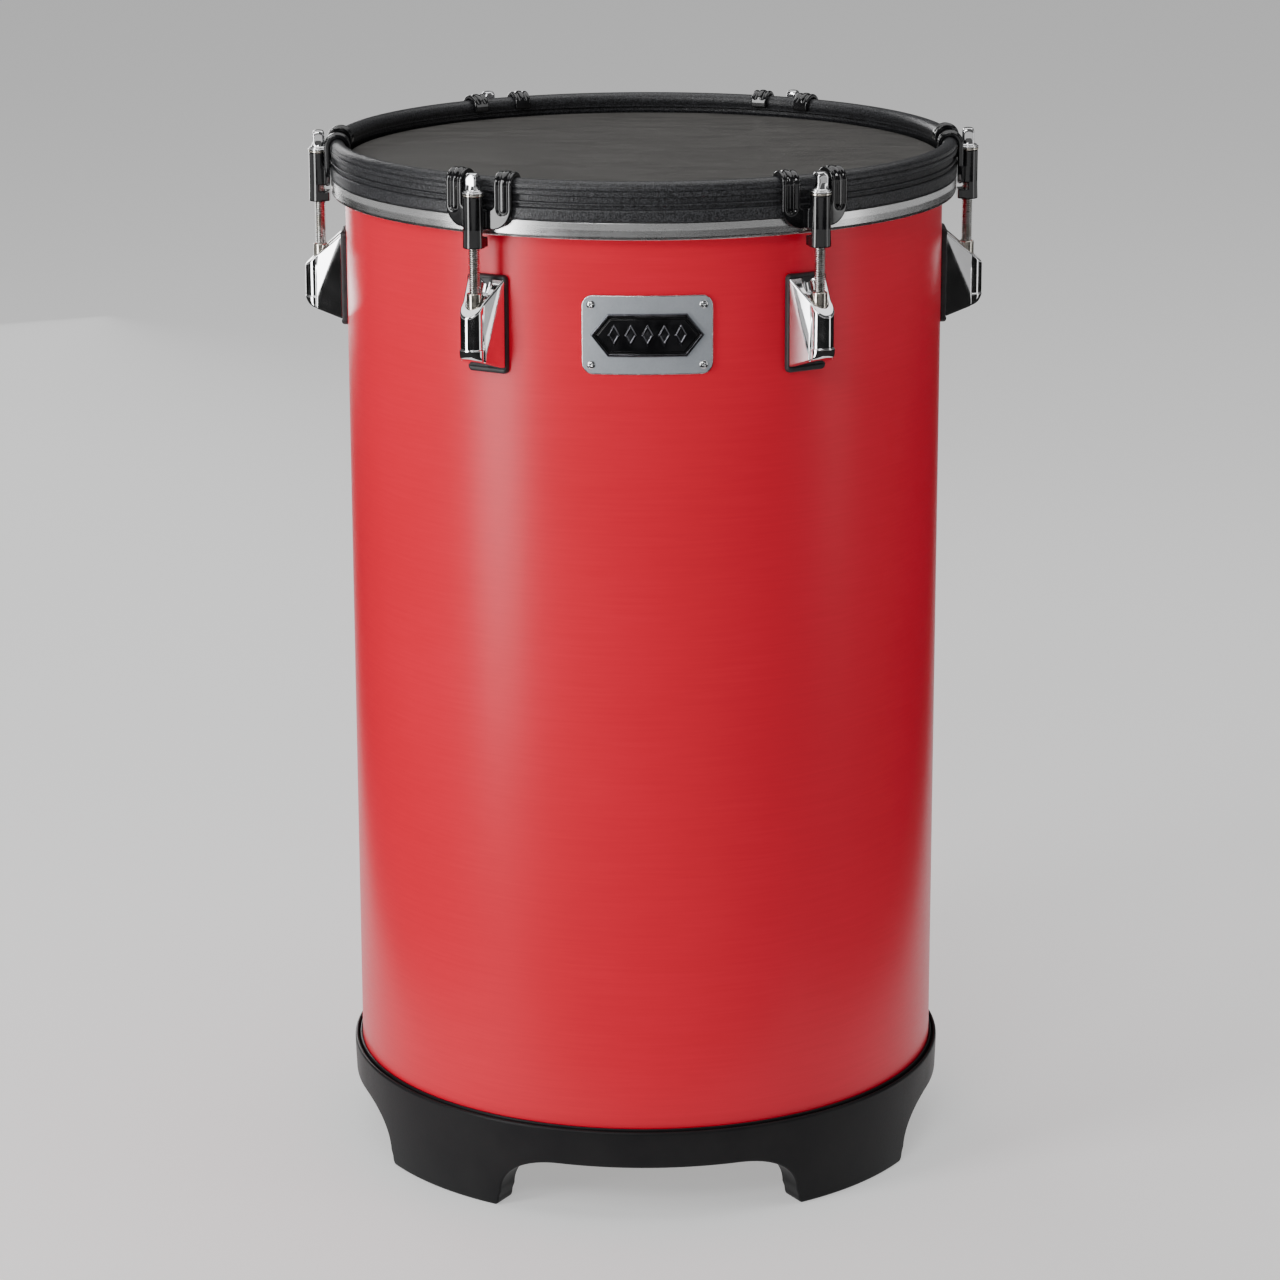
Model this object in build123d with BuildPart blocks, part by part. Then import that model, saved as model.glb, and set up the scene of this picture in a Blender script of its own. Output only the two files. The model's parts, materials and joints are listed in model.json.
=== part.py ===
from build123d import *
import os
from math import acos, atan2, cos, degrees, hypot, radians, sin

# A free-standing tunable hand drum: a tall cylindrical shell on a four-footed base ring, with a
# single head that six key rods pull down. Millimetres, +Z up, origin at the centre of the floor
# under the drum. The badge faces -Y.

# ---------------------------------------------------------------- driving dimensions
# shell
SHELL_R = 152.0
COVERING_T = 0.4
TUBE_R = SHELL_R - COVERING_T
TUBE_WALL = 6.0
TUBE_INNER_R = TUBE_R - TUBE_WALL
TUBE_BOTTOM = 40.0
BEARING_EDGE = 518.7
BEARING_ROUND = 2.5
BEARING_BEVEL = 3.0
COVERING_BOTTOM = TUBE_BOTTOM
COVERING_TOP = 515.0

# head film, clear of the shell by a small gap so that the two bodies never touch
FILM_T = 0.35
FILM_GAP = 0.3
FILM_MID_Z = BEARING_EDGE + FILM_GAP + FILM_T / 2
COLLAR_R = 155.5
COLLAR_TURN_Z = 509.6
COLLAR_BOTTOM = 504.0

# flesh hoop: an aluminium channel that holds the film's edge in cast resin
FLESH_R = 159.05
FLESH_INNER_R = 153.4
FLESH_BOTTOM = 501.7
FLESH_TOP = 510.0
FLESH_INNER_TOP = 508.4
FLESH_WALL = 0.8
RESIN_GAP = 0.05
RESIN_TOP = 508.0

# counterhoop: one formed steel ring, with a roll along its top
ROLL_CENTRE_R = 155.45
ROLL_CENTRE_Z = 525.9
ROLL_R = 3.75
ROLL_START = -8
ROLL_SWEEP = 225
HOOP_R = 159.2
HOOP_BOTTOM = 510.05
HOOP_INNER_R = 156.6
BEAD_TOP = 516.3
BEAD_ROUND = 0.9
WAIST_R = 157.5
RIDGE_R = 158.8
RIDGE_BOTTOM = 518.1
RIDGE_TOP = 519.1
BAND_BOTTOM = 522.5
BAND_TOP = 524.4
LEDGE_R = 152.7
LEDGE_BOTTOM = 522.0
LEDGE_TOP = 523.0
THROAT_R = 154.6
THROAT_BOTTOM = 519.8

# lugs, claws and rods
LUG_AZIMUTHS = [-60, 0, 60, 120, 180, 240]
ROD_AXIS_R = 165.2
ROD_R = 5.49 / 2
ROD_TIP = 459.0
ROD_TIP_CHAMFER = 0.7
RUN_GAP = 0.02
WASHER_R = 5.3
WASHER_BORE_R = ROD_R + 0.1
WASHER_BOTTOM = 521.0
WASHER_TOP = 522.0
FLANGE_R = 5.4
FLANGE_BOTTOM = WASHER_TOP + RUN_GAP
FLANGE_TOP = 523.0
NECK_R = 4.0
NECK_TOP = 524.2
NECK_CHAMFER = 0.96
KEY_SQUARE = 5.87
KEY_CORNER = 1.0
KEY_TOP = 532.6
KEY_TOP_CHAMFER = 0.8

HOOK_INNER = ROLL_R + 0.2
HOOK_OUTER = ROLL_R + 2.75
CLAW_HALF_WIDTH = 18.2
CLAW_NOTCH_HALF = 8.9
CLAW_NOTCH_BOTTOM = 514.6
CLAW_NOTCH_ROUND = 2.0
CLAW_BOTTOM = 504.7
CLAW_CORNER = 10.5
CLAW_CORNER_EDGE_ANGLE = 12
CLAW_TURN_SPARE = 1.0
BOSS_R = 5.1
BOSS_BORE_R = 3.0
BOSS_BOTTOM = 496.0
BOSS_CHAMFER = 0.4
WEB_HALF = 4.6
WEB_TOP = 513.0
WEB_BOTTOM = 504.5
HEEL_R = 160.0
HEEL_HALF = 4.9
HEEL_BOTTOM = 496.3
HEEL_TOP = 501.3

# swivel nut and the nylon bush that keeps it up in its casing
NUT_R = 3.8
NUT_BORE_R = ROD_R + 0.08
NUT_TOP = 474.2
NUT_HEAD_R = 4.4
NUT_HEAD_TOP = 458.0
NUT_HEAD_BOTTOM = 453.4
NUT_CHAMFER = 0.5
BUSH_BOTTOM = 448.9
BUSH_TOP = 453.4
BUSH_R = 4.55
BUSH_BORE_R = 3.4

# lug casing
CASING_BACK = 154.3
CASING_BACK_HALF = 10.25
CASING_TOP = 479.9
CASING_FRONT = 173.5
BARREL_R = 5.9
BARREL_CENTRE_R = CASING_FRONT - BARREL_R
BARREL_TOP = 463.6
BARREL_FOOT = 445.0
SLOPE_START_R = 171.7
SLOPE_START_Z = 442.6
CASING_BOTTOM = 436.2
NUT_WELL_R = 4.05
NUT_POCKET_R = 4.6
NUT_POCKET_TOP = NUT_HEAD_TOP + 0.1
MOUTH_BACK_R = 158.2
MOUTH_FLOOR = 461.0

# gasket under each casing
GASKET_INNER_R = SHELL_R + 0.02
GASKET_HALF = 11.0
GASKET_BOTTOM = 433.5
GASKET_TOP = 481.6
GASKET_CORNER = 2.2

# lug screws, from inside the shell
SCREW_HEIGHTS = [444.0, 471.0]
SCREW_R = 2.4
SCREW_TIP_R = 160.3
SCREW_END_GAP = 0.2
SCREW_HOLE_R = 2.8
SCREW_HEAD_R = 4.2
SCREW_HEAD_T = 2.4
SCREW_SOCKET_R = 1.3
SCREW_SOCKET_DEPTH = 1.4
SCREW_WASHER_R = 6.0
SCREW_WASHER_T = 1.2
SCREW_WASHER_SEAT_GAP = 0.15

# badge
BADGE_Z = 455.1
BADGE_W = 63.1
BADGE_H = 38.5
BADGE_CORNER = 5.5
BADGE_BACK_R = SHELL_R + 0.02
BADGE_T = 1.0
BADGE_SCREW_X = 54.4
BADGE_SCREW_Z = 29.3
BADGE_SCREW_R = 1.2
BADGE_SCREW_HOLE_R = 1.3
BADGE_SCREW_LENGTH = 6.5
BADGE_SCREW_END_GAP = 0.5
BADGE_HEAD_R = 2.35
BADGE_HEAD_T = 0.9
BADGE_HEAD_GAP = 0.05
EMBLEM_W = 55.0
EMBLEM_H = 21.0
EMBLEM_TIP = 8.5
EMBLEM_RIM = 1.8
EMBLEM_FLOOR_T = 0.5
EMBLEM_T = 1.1
LOZENGES = 5
LOZENGE_PITCH = 8.0
LOZENGE_W = 6.0
LOZENGE_H = 11.0

# base ring with four feet
FOOT_R = 153.85
FOOT_INNER_R = 139.0
BASE_RIM_R = 156.1
BASE_RIM_SHOULDER = 44.5
BASE_RIM_TOP = 48.3
BASE_RIM_ARC_IN = 0.5
BASE_RIM_ARC_DOWN = 1.3
BASE_GROOVE_R = 154.15
BASE_GROOVE_INNER_R = 153.45
BASE_GROOVE_BOTTOM = 46.3
BASE_LIP_TOP = 49.2
BASE_SEAT_R = SHELL_R + 0.08
BASE_COLLAR_R = TUBE_INNER_R - 0.1
BASE_COLLAR_TOP = 50.0
ARCH_PLANE = 150.0
ARCH_TOP = 28.8
ARCH_HALF_FLOOR = 86.6
ARCH_HALF_FLAT = 46.6
ARCH_HALF_SPRING = 84.6
ARCH_SPRING_Z = 8.0
ARCH_CUT_START = 110.0
ARCH_CUT_END = 190.0
BASE_SCREWS = 8
BASE_SCREW_Z = 45.0
BASE_SCREW_R = 1.45
BASE_SCREW_HOLE_R = 1.55
BASE_SCREW_TIP_R = 149.5
BASE_SCREW_END_GAP = 0.3
FOOT_SCREW_HOLE_R = 1.65
BASE_SCREW_HEAD_R = 3.0
BASE_SCREW_HEAD_T = 1.8
FLAT_ON_CURVE = 0.1

# how far a cutter runs past what it cuts
PAST = 1.0

os.makedirs("parts", exist_ok=True)


# ---------------------------------------------------------------- helpers
def outward(azimuth):
    """Unit vector that points away from the drum's axis."""
    return Vector(cos(radians(azimuth)), sin(radians(azimuth)), 0)


def half_plane(azimuth):
    """Vertical plane through the drum's axis: its x is the radius, its y is the height."""
    out = outward(azimuth)
    return Plane(origin=(0, 0, 0), x_dir=out, z_dir=(out.Y, -out.X, 0))


def tangent_plane(azimuth, radius, height):
    """Plane that faces outwards at one radius and height: its y points up."""
    out = outward(azimuth)
    centre = out * radius + Vector(0, 0, height)
    return Plane(origin=centre, x_dir=(-out.Y, out.X, 0), z_dir=out)


def save(piece, name):
    """Label one finished piece and write it."""
    piece.part.label = name
    export_step(piece.part, f"parts/{name}.step")


def save_around(master, name):
    """Write one copy of a piece for every lug, turned from azimuth 0 to the lug's own."""
    for number, azimuth in enumerate(LUG_AZIMUTHS, start=1):
        with BuildPart() as placed:
            add(master.part, rotation=(0, 0, azimuth))
        save(placed, f"{name}_{number}")


def radial_cylinder(azimuth, height, radius, inner, outer, mode=Mode.ADD):
    """Round bar along a radius of the drum, from one distance off the axis to another."""
    with BuildSketch(tangent_plane(azimuth, inner, height)) as section:
        Circle(radius)
    extrude(section.sketch, amount=outer - inner, mode=mode)


def ring(inner, outer, bottom, top, mode=Mode.ADD):
    """Plain ring about the drum's axis."""
    with BuildSketch(Plane.XY.offset(bottom)) as section:
        Circle(outer)
        Circle(inner, mode=Mode.SUBTRACT)
    extrude(section.sketch, amount=top - bottom, mode=mode)


def rod_cylinder(radius, bottom, top, mode=Mode.ADD):
    """Upright round bar on the rod axis of the lug at azimuth 0."""
    with BuildSketch(Plane.XY.offset(bottom)) as section:
        with Locations((ROD_AXIS_R, 0)):
            Circle(radius)
    extrude(section.sketch, amount=top - bottom, mode=mode)


# ---------------------------------------------------------------- shell
base_screw_azimuths = [(index + 0.5) * 360 / BASE_SCREWS for index in range(BASE_SCREWS)]
badge_screw_turn = degrees(BADGE_SCREW_X / 2 / SHELL_R)
badge_screw_azimuths = [-90 - badge_screw_turn, -90 + badge_screw_turn]
badge_screw_heights = [BADGE_Z - BADGE_SCREW_Z / 2, BADGE_Z + BADGE_SCREW_Z / 2]


def lug_screw_holes():
    """Clearance holes for the two screws of every lug."""
    for azimuth in LUG_AZIMUTHS:
        for height in SCREW_HEIGHTS:
            radial_cylinder(azimuth, height, SCREW_HOLE_R, TUBE_INNER_R - PAST, SHELL_R + PAST, Mode.SUBTRACT)


def badge_screw_holes():
    """Pilot holes for the four badge screws."""
    for azimuth in badge_screw_azimuths:
        for height in badge_screw_heights:
            start = SHELL_R - BADGE_SCREW_LENGTH
            radial_cylinder(azimuth, height, BADGE_SCREW_HOLE_R, start, SHELL_R + PAST, Mode.SUBTRACT)


with BuildPart() as shell_tube:
    ring(TUBE_INNER_R, TUBE_R, TUBE_BOTTOM, BEARING_EDGE)
    top_edges = shell_tube.edges().group_by(Axis.Z)[-1].sort_by(SortBy.LENGTH)
    chamfer(top_edges[0], length=BEARING_BEVEL)
    fillet(shell_tube.edges().group_by(Axis.Z)[-1].sort_by(SortBy.LENGTH)[-1], radius=BEARING_ROUND)
    lug_screw_holes()
    badge_screw_holes()
    for azimuth in base_screw_azimuths:
        hole_end = BASE_SCREW_TIP_R + BASE_SCREW_END_GAP
        hole_start = TUBE_INNER_R - PAST
        radial_cylinder(azimuth, BASE_SCREW_Z, BASE_SCREW_HOLE_R, hole_start, hole_end, Mode.SUBTRACT)
save(shell_tube, "shell_tube")

with BuildPart() as shell_covering:
    ring(TUBE_R, SHELL_R, COVERING_BOTTOM, COVERING_TOP)
    lug_screw_holes()
    badge_screw_holes()
save(shell_covering, "shell_covering")

# ---------------------------------------------------------------- base ring
def arch_opening(azimuth):
    """Arch through the ring, cut along the radii, so that it narrows towards the drum's axis."""
    sections = []
    for distance in (ARCH_CUT_START, ARCH_CUT_END):
        widen = distance / ARCH_PLANE
        flat, spring, floor = (half * widen for half in (ARCH_HALF_FLAT, ARCH_HALF_SPRING, ARCH_HALF_FLOOR))
        rise = ARCH_TOP - ARCH_SPRING_Z
        with BuildSketch(tangent_plane(azimuth, distance, 0)) as section:
            with BuildLine():
                haunch = EllipticalCenterArc((flat, ARCH_SPRING_Z), spring - flat, rise, arc_size=90)
                Polyline(haunch @ 1, (0, ARCH_TOP), (0, -PAST), (floor, -PAST), (floor, 0), haunch @ 0)
            make_face()
            mirror(about=Plane.YZ)
        sections.append(section.sketch)
    loft(sections, ruled=True, mode=Mode.SUBTRACT)


with BuildPart() as foot_ring:
    with BuildSketch(Plane.XZ):
        with BuildLine():
            Polyline(
                (BASE_RIM_R, BASE_RIM_SHOULDER),
                (FOOT_R, 0),
                (FOOT_INNER_R, 0),
                (FOOT_INNER_R, BASE_COLLAR_TOP),
                (BASE_COLLAR_R, BASE_COLLAR_TOP),
                (BASE_COLLAR_R, TUBE_BOTTOM),
                (BASE_SEAT_R, TUBE_BOTTOM),
                (BASE_SEAT_R, BASE_LIP_TOP),
                (BASE_GROOVE_INNER_R, BASE_LIP_TOP),
                (BASE_GROOVE_INNER_R, BASE_GROOVE_BOTTOM),
                (BASE_GROOVE_R, BASE_GROOVE_BOTTOM),
                (BASE_GROOVE_R, BASE_RIM_TOP),
            )
            ThreePointArc(
                (BASE_GROOVE_R, BASE_RIM_TOP),
                (BASE_RIM_R - BASE_RIM_ARC_IN, BASE_RIM_TOP - BASE_RIM_ARC_DOWN),
                (BASE_RIM_R, BASE_RIM_SHOULDER),
            )
        make_face()
    revolve(axis=Axis.Z)
    for azimuth in (0, 90, 180, 270):
        arch_opening(azimuth)
    for azimuth in base_screw_azimuths:
        hole_start = FOOT_INNER_R - PAST
        radial_cylinder(azimuth, BASE_SCREW_Z, FOOT_SCREW_HOLE_R, hole_start, TUBE_INNER_R, Mode.SUBTRACT)
save(foot_ring, "foot_ring")

with BuildPart() as base_screws:
    for azimuth in base_screw_azimuths:
        head_inner = FOOT_INNER_R - BASE_SCREW_HEAD_T
        radial_cylinder(azimuth, BASE_SCREW_Z, BASE_SCREW_HEAD_R, head_inner, FOOT_INNER_R - FLAT_ON_CURVE)
        radial_cylinder(azimuth, BASE_SCREW_Z, BASE_SCREW_R, head_inner, BASE_SCREW_TIP_R)
save(base_screws, "base_screws")

# ---------------------------------------------------------------- badge
with BuildPart() as badge_plate:
    ring(BADGE_BACK_R, BADGE_BACK_R + BADGE_T, BADGE_Z - BADGE_H / 2, BADGE_Z + BADGE_H / 2)
    with BuildSketch(tangent_plane(-90, SHELL_R / 2, BADGE_Z)):
        RectangleRounded(BADGE_W, BADGE_H, BADGE_CORNER)
    extrude(amount=SHELL_R, mode=Mode.INTERSECT)
    for azimuth in badge_screw_azimuths:
        for height in badge_screw_heights:
            hole_end = SHELL_R + BADGE_T + PAST
            radial_cylinder(azimuth, height, BADGE_SCREW_HOLE_R, SHELL_R - PAST, hole_end, Mode.SUBTRACT)
save(badge_plate, "badge_plate")

emblem_back_r = BADGE_BACK_R + BADGE_T + RUN_GAP
emblem_floor_r = emblem_back_r + EMBLEM_FLOOR_T
emblem_face_r = emblem_back_r + EMBLEM_T
emblem_low = BADGE_Z - EMBLEM_H / 2 - PAST
emblem_high = BADGE_Z + EMBLEM_H / 2 + PAST


def elongated_hexagon():
    """Outline of the emblem: a bar pointed at both ends."""
    shoulder = EMBLEM_W / 2 - EMBLEM_TIP
    top = EMBLEM_H / 2
    right = [(shoulder, -top), (EMBLEM_W / 2, 0), (shoulder, top)]
    left = [(-shoulder, top), (-EMBLEM_W / 2, 0), (-shoulder, -top)]
    return Polygon(*right, *left, mode=Mode.PRIVATE)


with BuildPart() as emblem_recess:
    ring(emblem_floor_r, emblem_face_r + PAST, emblem_low, emblem_high)
    with BuildSketch(tangent_plane(-90, SHELL_R / 2, BADGE_Z)):
        add(offset(elongated_hexagon(), amount=-EMBLEM_RIM, kind=Kind.INTERSECTION, mode=Mode.PRIVATE))
        with GridLocations(LOZENGE_PITCH, 0, LOZENGES, 1):
            Polygon(
                (LOZENGE_W / 2, 0),
                (0, LOZENGE_H / 2),
                (-LOZENGE_W / 2, 0),
                (0, -LOZENGE_H / 2),
                mode=Mode.SUBTRACT,
            )
    extrude(amount=SHELL_R, mode=Mode.INTERSECT)

with BuildPart() as badge_emblem:
    ring(emblem_back_r, emblem_face_r, emblem_low, emblem_high)
    with BuildSketch(tangent_plane(-90, SHELL_R / 2, BADGE_Z)):
        add(elongated_hexagon())
    extrude(amount=SHELL_R, mode=Mode.INTERSECT)
    add(emblem_recess.part, mode=Mode.SUBTRACT)
save(badge_emblem, "badge_emblem")

with BuildPart() as badge_screws:
    for azimuth in badge_screw_azimuths:
        for height in badge_screw_heights:
            face_r = BADGE_BACK_R + BADGE_T + BADGE_HEAD_GAP
            tip_r = SHELL_R - BADGE_SCREW_LENGTH + BADGE_SCREW_END_GAP
            radial_cylinder(azimuth, height, BADGE_SCREW_R, tip_r, face_r + BADGE_HEAD_T / 2)
            radial_cylinder(azimuth, height, BADGE_HEAD_R, face_r, face_r + BADGE_HEAD_T)
save(badge_screws, "badge_screws")

# ---------------------------------------------------------------- head
arc_r = BEARING_ROUND + FILM_GAP + FILM_T / 2
arc_centre = Vector(TUBE_R - BEARING_ROUND, BEARING_EDGE - BEARING_ROUND)
collar_turn = Vector(COLLAR_R, COLLAR_TURN_Z)
to_collar = collar_turn - arc_centre
leave_angle = degrees(atan2(to_collar.Y, to_collar.X) + acos(arc_r / hypot(to_collar.X, to_collar.Y)))

with BuildPart() as drumhead_film:
    with BuildSketch(Plane.XZ):
        with BuildLine():
            Line((0, FILM_MID_Z), (arc_centre.X, FILM_MID_Z))
            bend = CenterArc((arc_centre.X, arc_centre.Y), arc_r, 90, leave_angle - 90)
            Polyline(bend @ 1, (collar_turn.X, collar_turn.Y), (COLLAR_R, COLLAR_BOTTOM))
        trace(line_width=FILM_T)
    revolve(axis=Axis.Z)
save(drumhead_film, "drumhead_film")

with BuildPart() as flesh_hoop:
    ring(FLESH_INNER_R, FLESH_R, FLESH_BOTTOM, FLESH_TOP)
    channel_inner = FLESH_INNER_R + FLESH_WALL
    ring(channel_inner, FLESH_R - FLESH_WALL, FLESH_BOTTOM + FLESH_WALL, FLESH_TOP, Mode.SUBTRACT)
    ring(FLESH_INNER_R - PAST, FLESH_R - FLESH_WALL, FLESH_INNER_TOP, FLESH_TOP, Mode.SUBTRACT)
save(flesh_hoop, "flesh_hoop")

with BuildPart() as hoop_resin:
    resin_inner = FLESH_INNER_R + FLESH_WALL + RESIN_GAP
    resin_outer = FLESH_R - FLESH_WALL - RESIN_GAP
    ring(resin_inner, resin_outer, FLESH_BOTTOM + FLESH_WALL + RESIN_GAP, RESIN_TOP)
    slot_half = FILM_T / 2 + RESIN_GAP
    ring(COLLAR_R - slot_half, COLLAR_R + slot_half, COLLAR_BOTTOM - RESIN_GAP, RESIN_TOP, Mode.SUBTRACT)
save(hoop_resin, "hoop_resin")

with BuildPart() as counterhoop:
    with BuildSketch(Plane.XZ):
        with BuildLine():
            roll_centre = (ROLL_CENTRE_R, ROLL_CENTRE_Z)
            roll = CenterArc(roll_centre, ROLL_R, ROLL_START, ROLL_SWEEP)
            Polyline(
                (HOOP_INNER_R, HOOP_BOTTOM),
                (HOOP_R - BEAD_ROUND, HOOP_BOTTOM),
                (HOOP_R, HOOP_BOTTOM + BEAD_ROUND),
                (HOOP_R, BEAD_TOP - BEAD_ROUND),
                (HOOP_R - BEAD_ROUND, BEAD_TOP),
                (WAIST_R, BEAD_TOP),
                (WAIST_R, RIDGE_BOTTOM),
                (RIDGE_R, RIDGE_BOTTOM),
                (RIDGE_R, RIDGE_TOP),
                (WAIST_R, RIDGE_TOP),
                (WAIST_R, BAND_BOTTOM),
                (HOOP_R, BAND_BOTTOM),
                (HOOP_R, BAND_TOP),
                roll @ 0,
            )
            Polyline(
                roll @ 1,
                (LEDGE_R, LEDGE_TOP),
                (LEDGE_R, LEDGE_BOTTOM),
                (THROAT_R, LEDGE_BOTTOM),
                (THROAT_R, THROAT_BOTTOM),
                (HOOP_INNER_R, BEAD_TOP),
                (HOOP_INNER_R, HOOP_BOTTOM),
            )
        make_face()
    revolve(axis=Axis.Z)
save(counterhoop, "counterhoop")

# ---------------------------------------------------------------- claws
plate_inner = ROLL_CENTRE_R + HOOK_INNER
plate_outer = ROLL_CENTRE_R + HOOK_OUTER
claw_turn = degrees(CLAW_HALF_WIDTH / plate_inner) + CLAW_TURN_SPARE

with BuildPart() as claw_master:
    with BuildSketch(half_plane(-claw_turn)):
        with BuildLine():
            over = CenterArc((ROLL_CENTRE_R, ROLL_CENTRE_Z), HOOK_OUTER, 0, 180)
            under = CenterArc((ROLL_CENTRE_R, ROLL_CENTRE_Z), HOOK_INNER, 0, 180)
            Line(over @ 1, under @ 1)
            Polyline(over @ 0, (plate_outer, CLAW_BOTTOM), (plate_inner, CLAW_BOTTOM), under @ 0)
        make_face()
    revolve(axis=Axis.Z, revolution_arc=2 * claw_turn)
    claw_middle = (CLAW_BOTTOM + KEY_TOP) / 2
    with BuildSketch(tangent_plane(0, SHELL_R / 2, claw_middle)):
        Rectangle(2 * CLAW_HALF_WIDTH, KEY_TOP - CLAW_BOTTOM)
    extrude(amount=SHELL_R, mode=Mode.INTERSECT)
    across_plate = claw_master.edges().filter_by(Axis.X, tolerance=CLAW_CORNER_EDGE_ANGLE)
    fillet(across_plate.group_by(Axis.Z)[0], radius=CLAW_CORNER)
    notch_height = KEY_TOP - CLAW_NOTCH_BOTTOM + CLAW_NOTCH_ROUND
    with BuildSketch(tangent_plane(0, SHELL_R / 2, CLAW_NOTCH_BOTTOM + notch_height / 2)):
        RectangleRounded(2 * CLAW_NOTCH_HALF, notch_height, CLAW_NOTCH_ROUND)
    extrude(amount=SHELL_R, mode=Mode.SUBTRACT)
    rod_cylinder(BOSS_R, BOSS_BOTTOM, WASHER_BOTTOM)
    with BuildSketch(Plane.XY.offset(WEB_BOTTOM)):
        with Locations(((plate_outer - PAST + ROD_AXIS_R) / 2, 0)):
            Rectangle(ROD_AXIS_R - plate_outer + PAST, 2 * WEB_HALF)
    extrude(amount=WEB_TOP - WEB_BOTTOM)
    with BuildSketch(Plane.XY.offset(HEEL_BOTTOM)):
        with Locations(((HEEL_R + ROD_AXIS_R) / 2, 0)):
            Rectangle(ROD_AXIS_R - HEEL_R, 2 * HEEL_HALF)
    extrude(amount=HEEL_TOP - HEEL_BOTTOM)
    with BuildSketch(Plane.XY.offset(HEEL_TOP)):
        with Locations((ROD_AXIS_R - BOSS_R, 0)):
            Rectangle(2 * BOSS_R, 4 * BOSS_R)
    extrude(amount=WEB_BOTTOM - HEEL_TOP, mode=Mode.SUBTRACT)
    rod_cylinder(BOSS_BORE_R, BOSS_BOTTOM - PAST, WASHER_BOTTOM + PAST, Mode.SUBTRACT)
save_around(claw_master, "claw")

# ---------------------------------------------------------------- rods, washers and nuts
with BuildPart() as rod_master:
    rod_cylinder(ROD_R, ROD_TIP, FLANGE_TOP)
    chamfer(rod_master.edges().group_by(Axis.Z)[0], length=ROD_TIP_CHAMFER)
    rod_cylinder(FLANGE_R, FLANGE_BOTTOM, FLANGE_TOP)
    rod_cylinder(NECK_R, FLANGE_TOP, NECK_TOP)
    chamfer(rod_master.edges().group_by(Axis.Z)[-1], length=NECK_CHAMFER)
    with BuildSketch(Plane.XY.offset(FLANGE_TOP)):
        with Locations((ROD_AXIS_R, 0)):
            RectangleRounded(KEY_SQUARE, KEY_SQUARE, KEY_CORNER)
    extrude(amount=KEY_TOP - FLANGE_TOP)
    chamfer(rod_master.faces().sort_by(Axis.Z)[-1].edges(), length=KEY_TOP_CHAMFER)
save_around(rod_master, "tension_rod")

with BuildPart() as rod_washers:
    for azimuth in LUG_AZIMUTHS:
        with BuildSketch(Plane.XY.offset(WASHER_BOTTOM)):
            with Locations(outward(azimuth) * ROD_AXIS_R):
                Circle(WASHER_R)
                Circle(WASHER_BORE_R, mode=Mode.SUBTRACT)
        extrude(amount=WASHER_TOP - WASHER_BOTTOM)
save(rod_washers, "rod_washers")

with BuildPart() as nut_master:
    rod_cylinder(NUT_R, NUT_HEAD_BOTTOM, NUT_TOP)
    chamfer(nut_master.edges().group_by(Axis.Z)[-1], length=NUT_CHAMFER)
    rod_cylinder(NUT_HEAD_R, NUT_HEAD_BOTTOM, NUT_HEAD_TOP)
    rod_cylinder(NUT_BORE_R, NUT_HEAD_BOTTOM - PAST, NUT_TOP + PAST, Mode.SUBTRACT)
save_around(nut_master, "swivel_nut")

with BuildPart() as nut_bushes:
    for azimuth in LUG_AZIMUTHS:
        with BuildSketch(Plane.XY.offset(BUSH_BOTTOM)):
            with Locations(outward(azimuth) * ROD_AXIS_R):
                Circle(BUSH_R)
                Circle(BUSH_BORE_R, mode=Mode.SUBTRACT)
        extrude(amount=BUSH_TOP - BUSH_BOTTOM - RUN_GAP)
save(nut_bushes, "nut_bushes")

# ---------------------------------------------------------------- lug casings and gaskets
with BuildPart() as casing_master:
    with BuildSketch(Plane.XY.offset(CASING_BOTTOM - PAST)):
        with BuildLine():
            front = CenterArc((BARREL_CENTRE_R, 0), BARREL_R, -90, 180)
            Polyline(front @ 0, (CASING_BACK, -CASING_BACK_HALF), (CASING_BACK, CASING_BACK_HALF), front @ 1)
        make_face()
    extrude(amount=CASING_TOP - CASING_BOTTOM + 2 * PAST)
    with BuildSketch(Plane.XZ):
        with BuildLine():
            Polyline(
                (CASING_BACK, CASING_BOTTOM),
                (SLOPE_START_R, SLOPE_START_Z),
                (CASING_FRONT, BARREL_FOOT),
                (CASING_FRONT, BARREL_TOP),
                (CASING_BACK, CASING_TOP),
                close=True,
            )
        make_face()
    extrude(amount=2 * CASING_BACK_HALF, both=True, mode=Mode.INTERSECT)
    rod_cylinder(NUT_WELL_R, NUT_POCKET_TOP - PAST, CASING_TOP + PAST, Mode.SUBTRACT)
    rod_cylinder(NUT_POCKET_R, BUSH_BOTTOM, NUT_POCKET_TOP, Mode.SUBTRACT)
    with BuildSketch(Plane.XY.offset(MOUTH_FLOOR)):
        with Locations(((MOUTH_BACK_R + ROD_AXIS_R) / 2, 0)):
            Rectangle(ROD_AXIS_R - MOUTH_BACK_R, 2 * NUT_WELL_R)
    extrude(amount=CASING_TOP - MOUTH_FLOOR + PAST, mode=Mode.SUBTRACT)
    for height in SCREW_HEIGHTS:
        hole_end = SCREW_TIP_R + SCREW_END_GAP
        radial_cylinder(0, height, SCREW_R + RUN_GAP, CASING_BACK - PAST, hole_end, Mode.SUBTRACT)
save_around(casing_master, "lug_casing")

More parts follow.
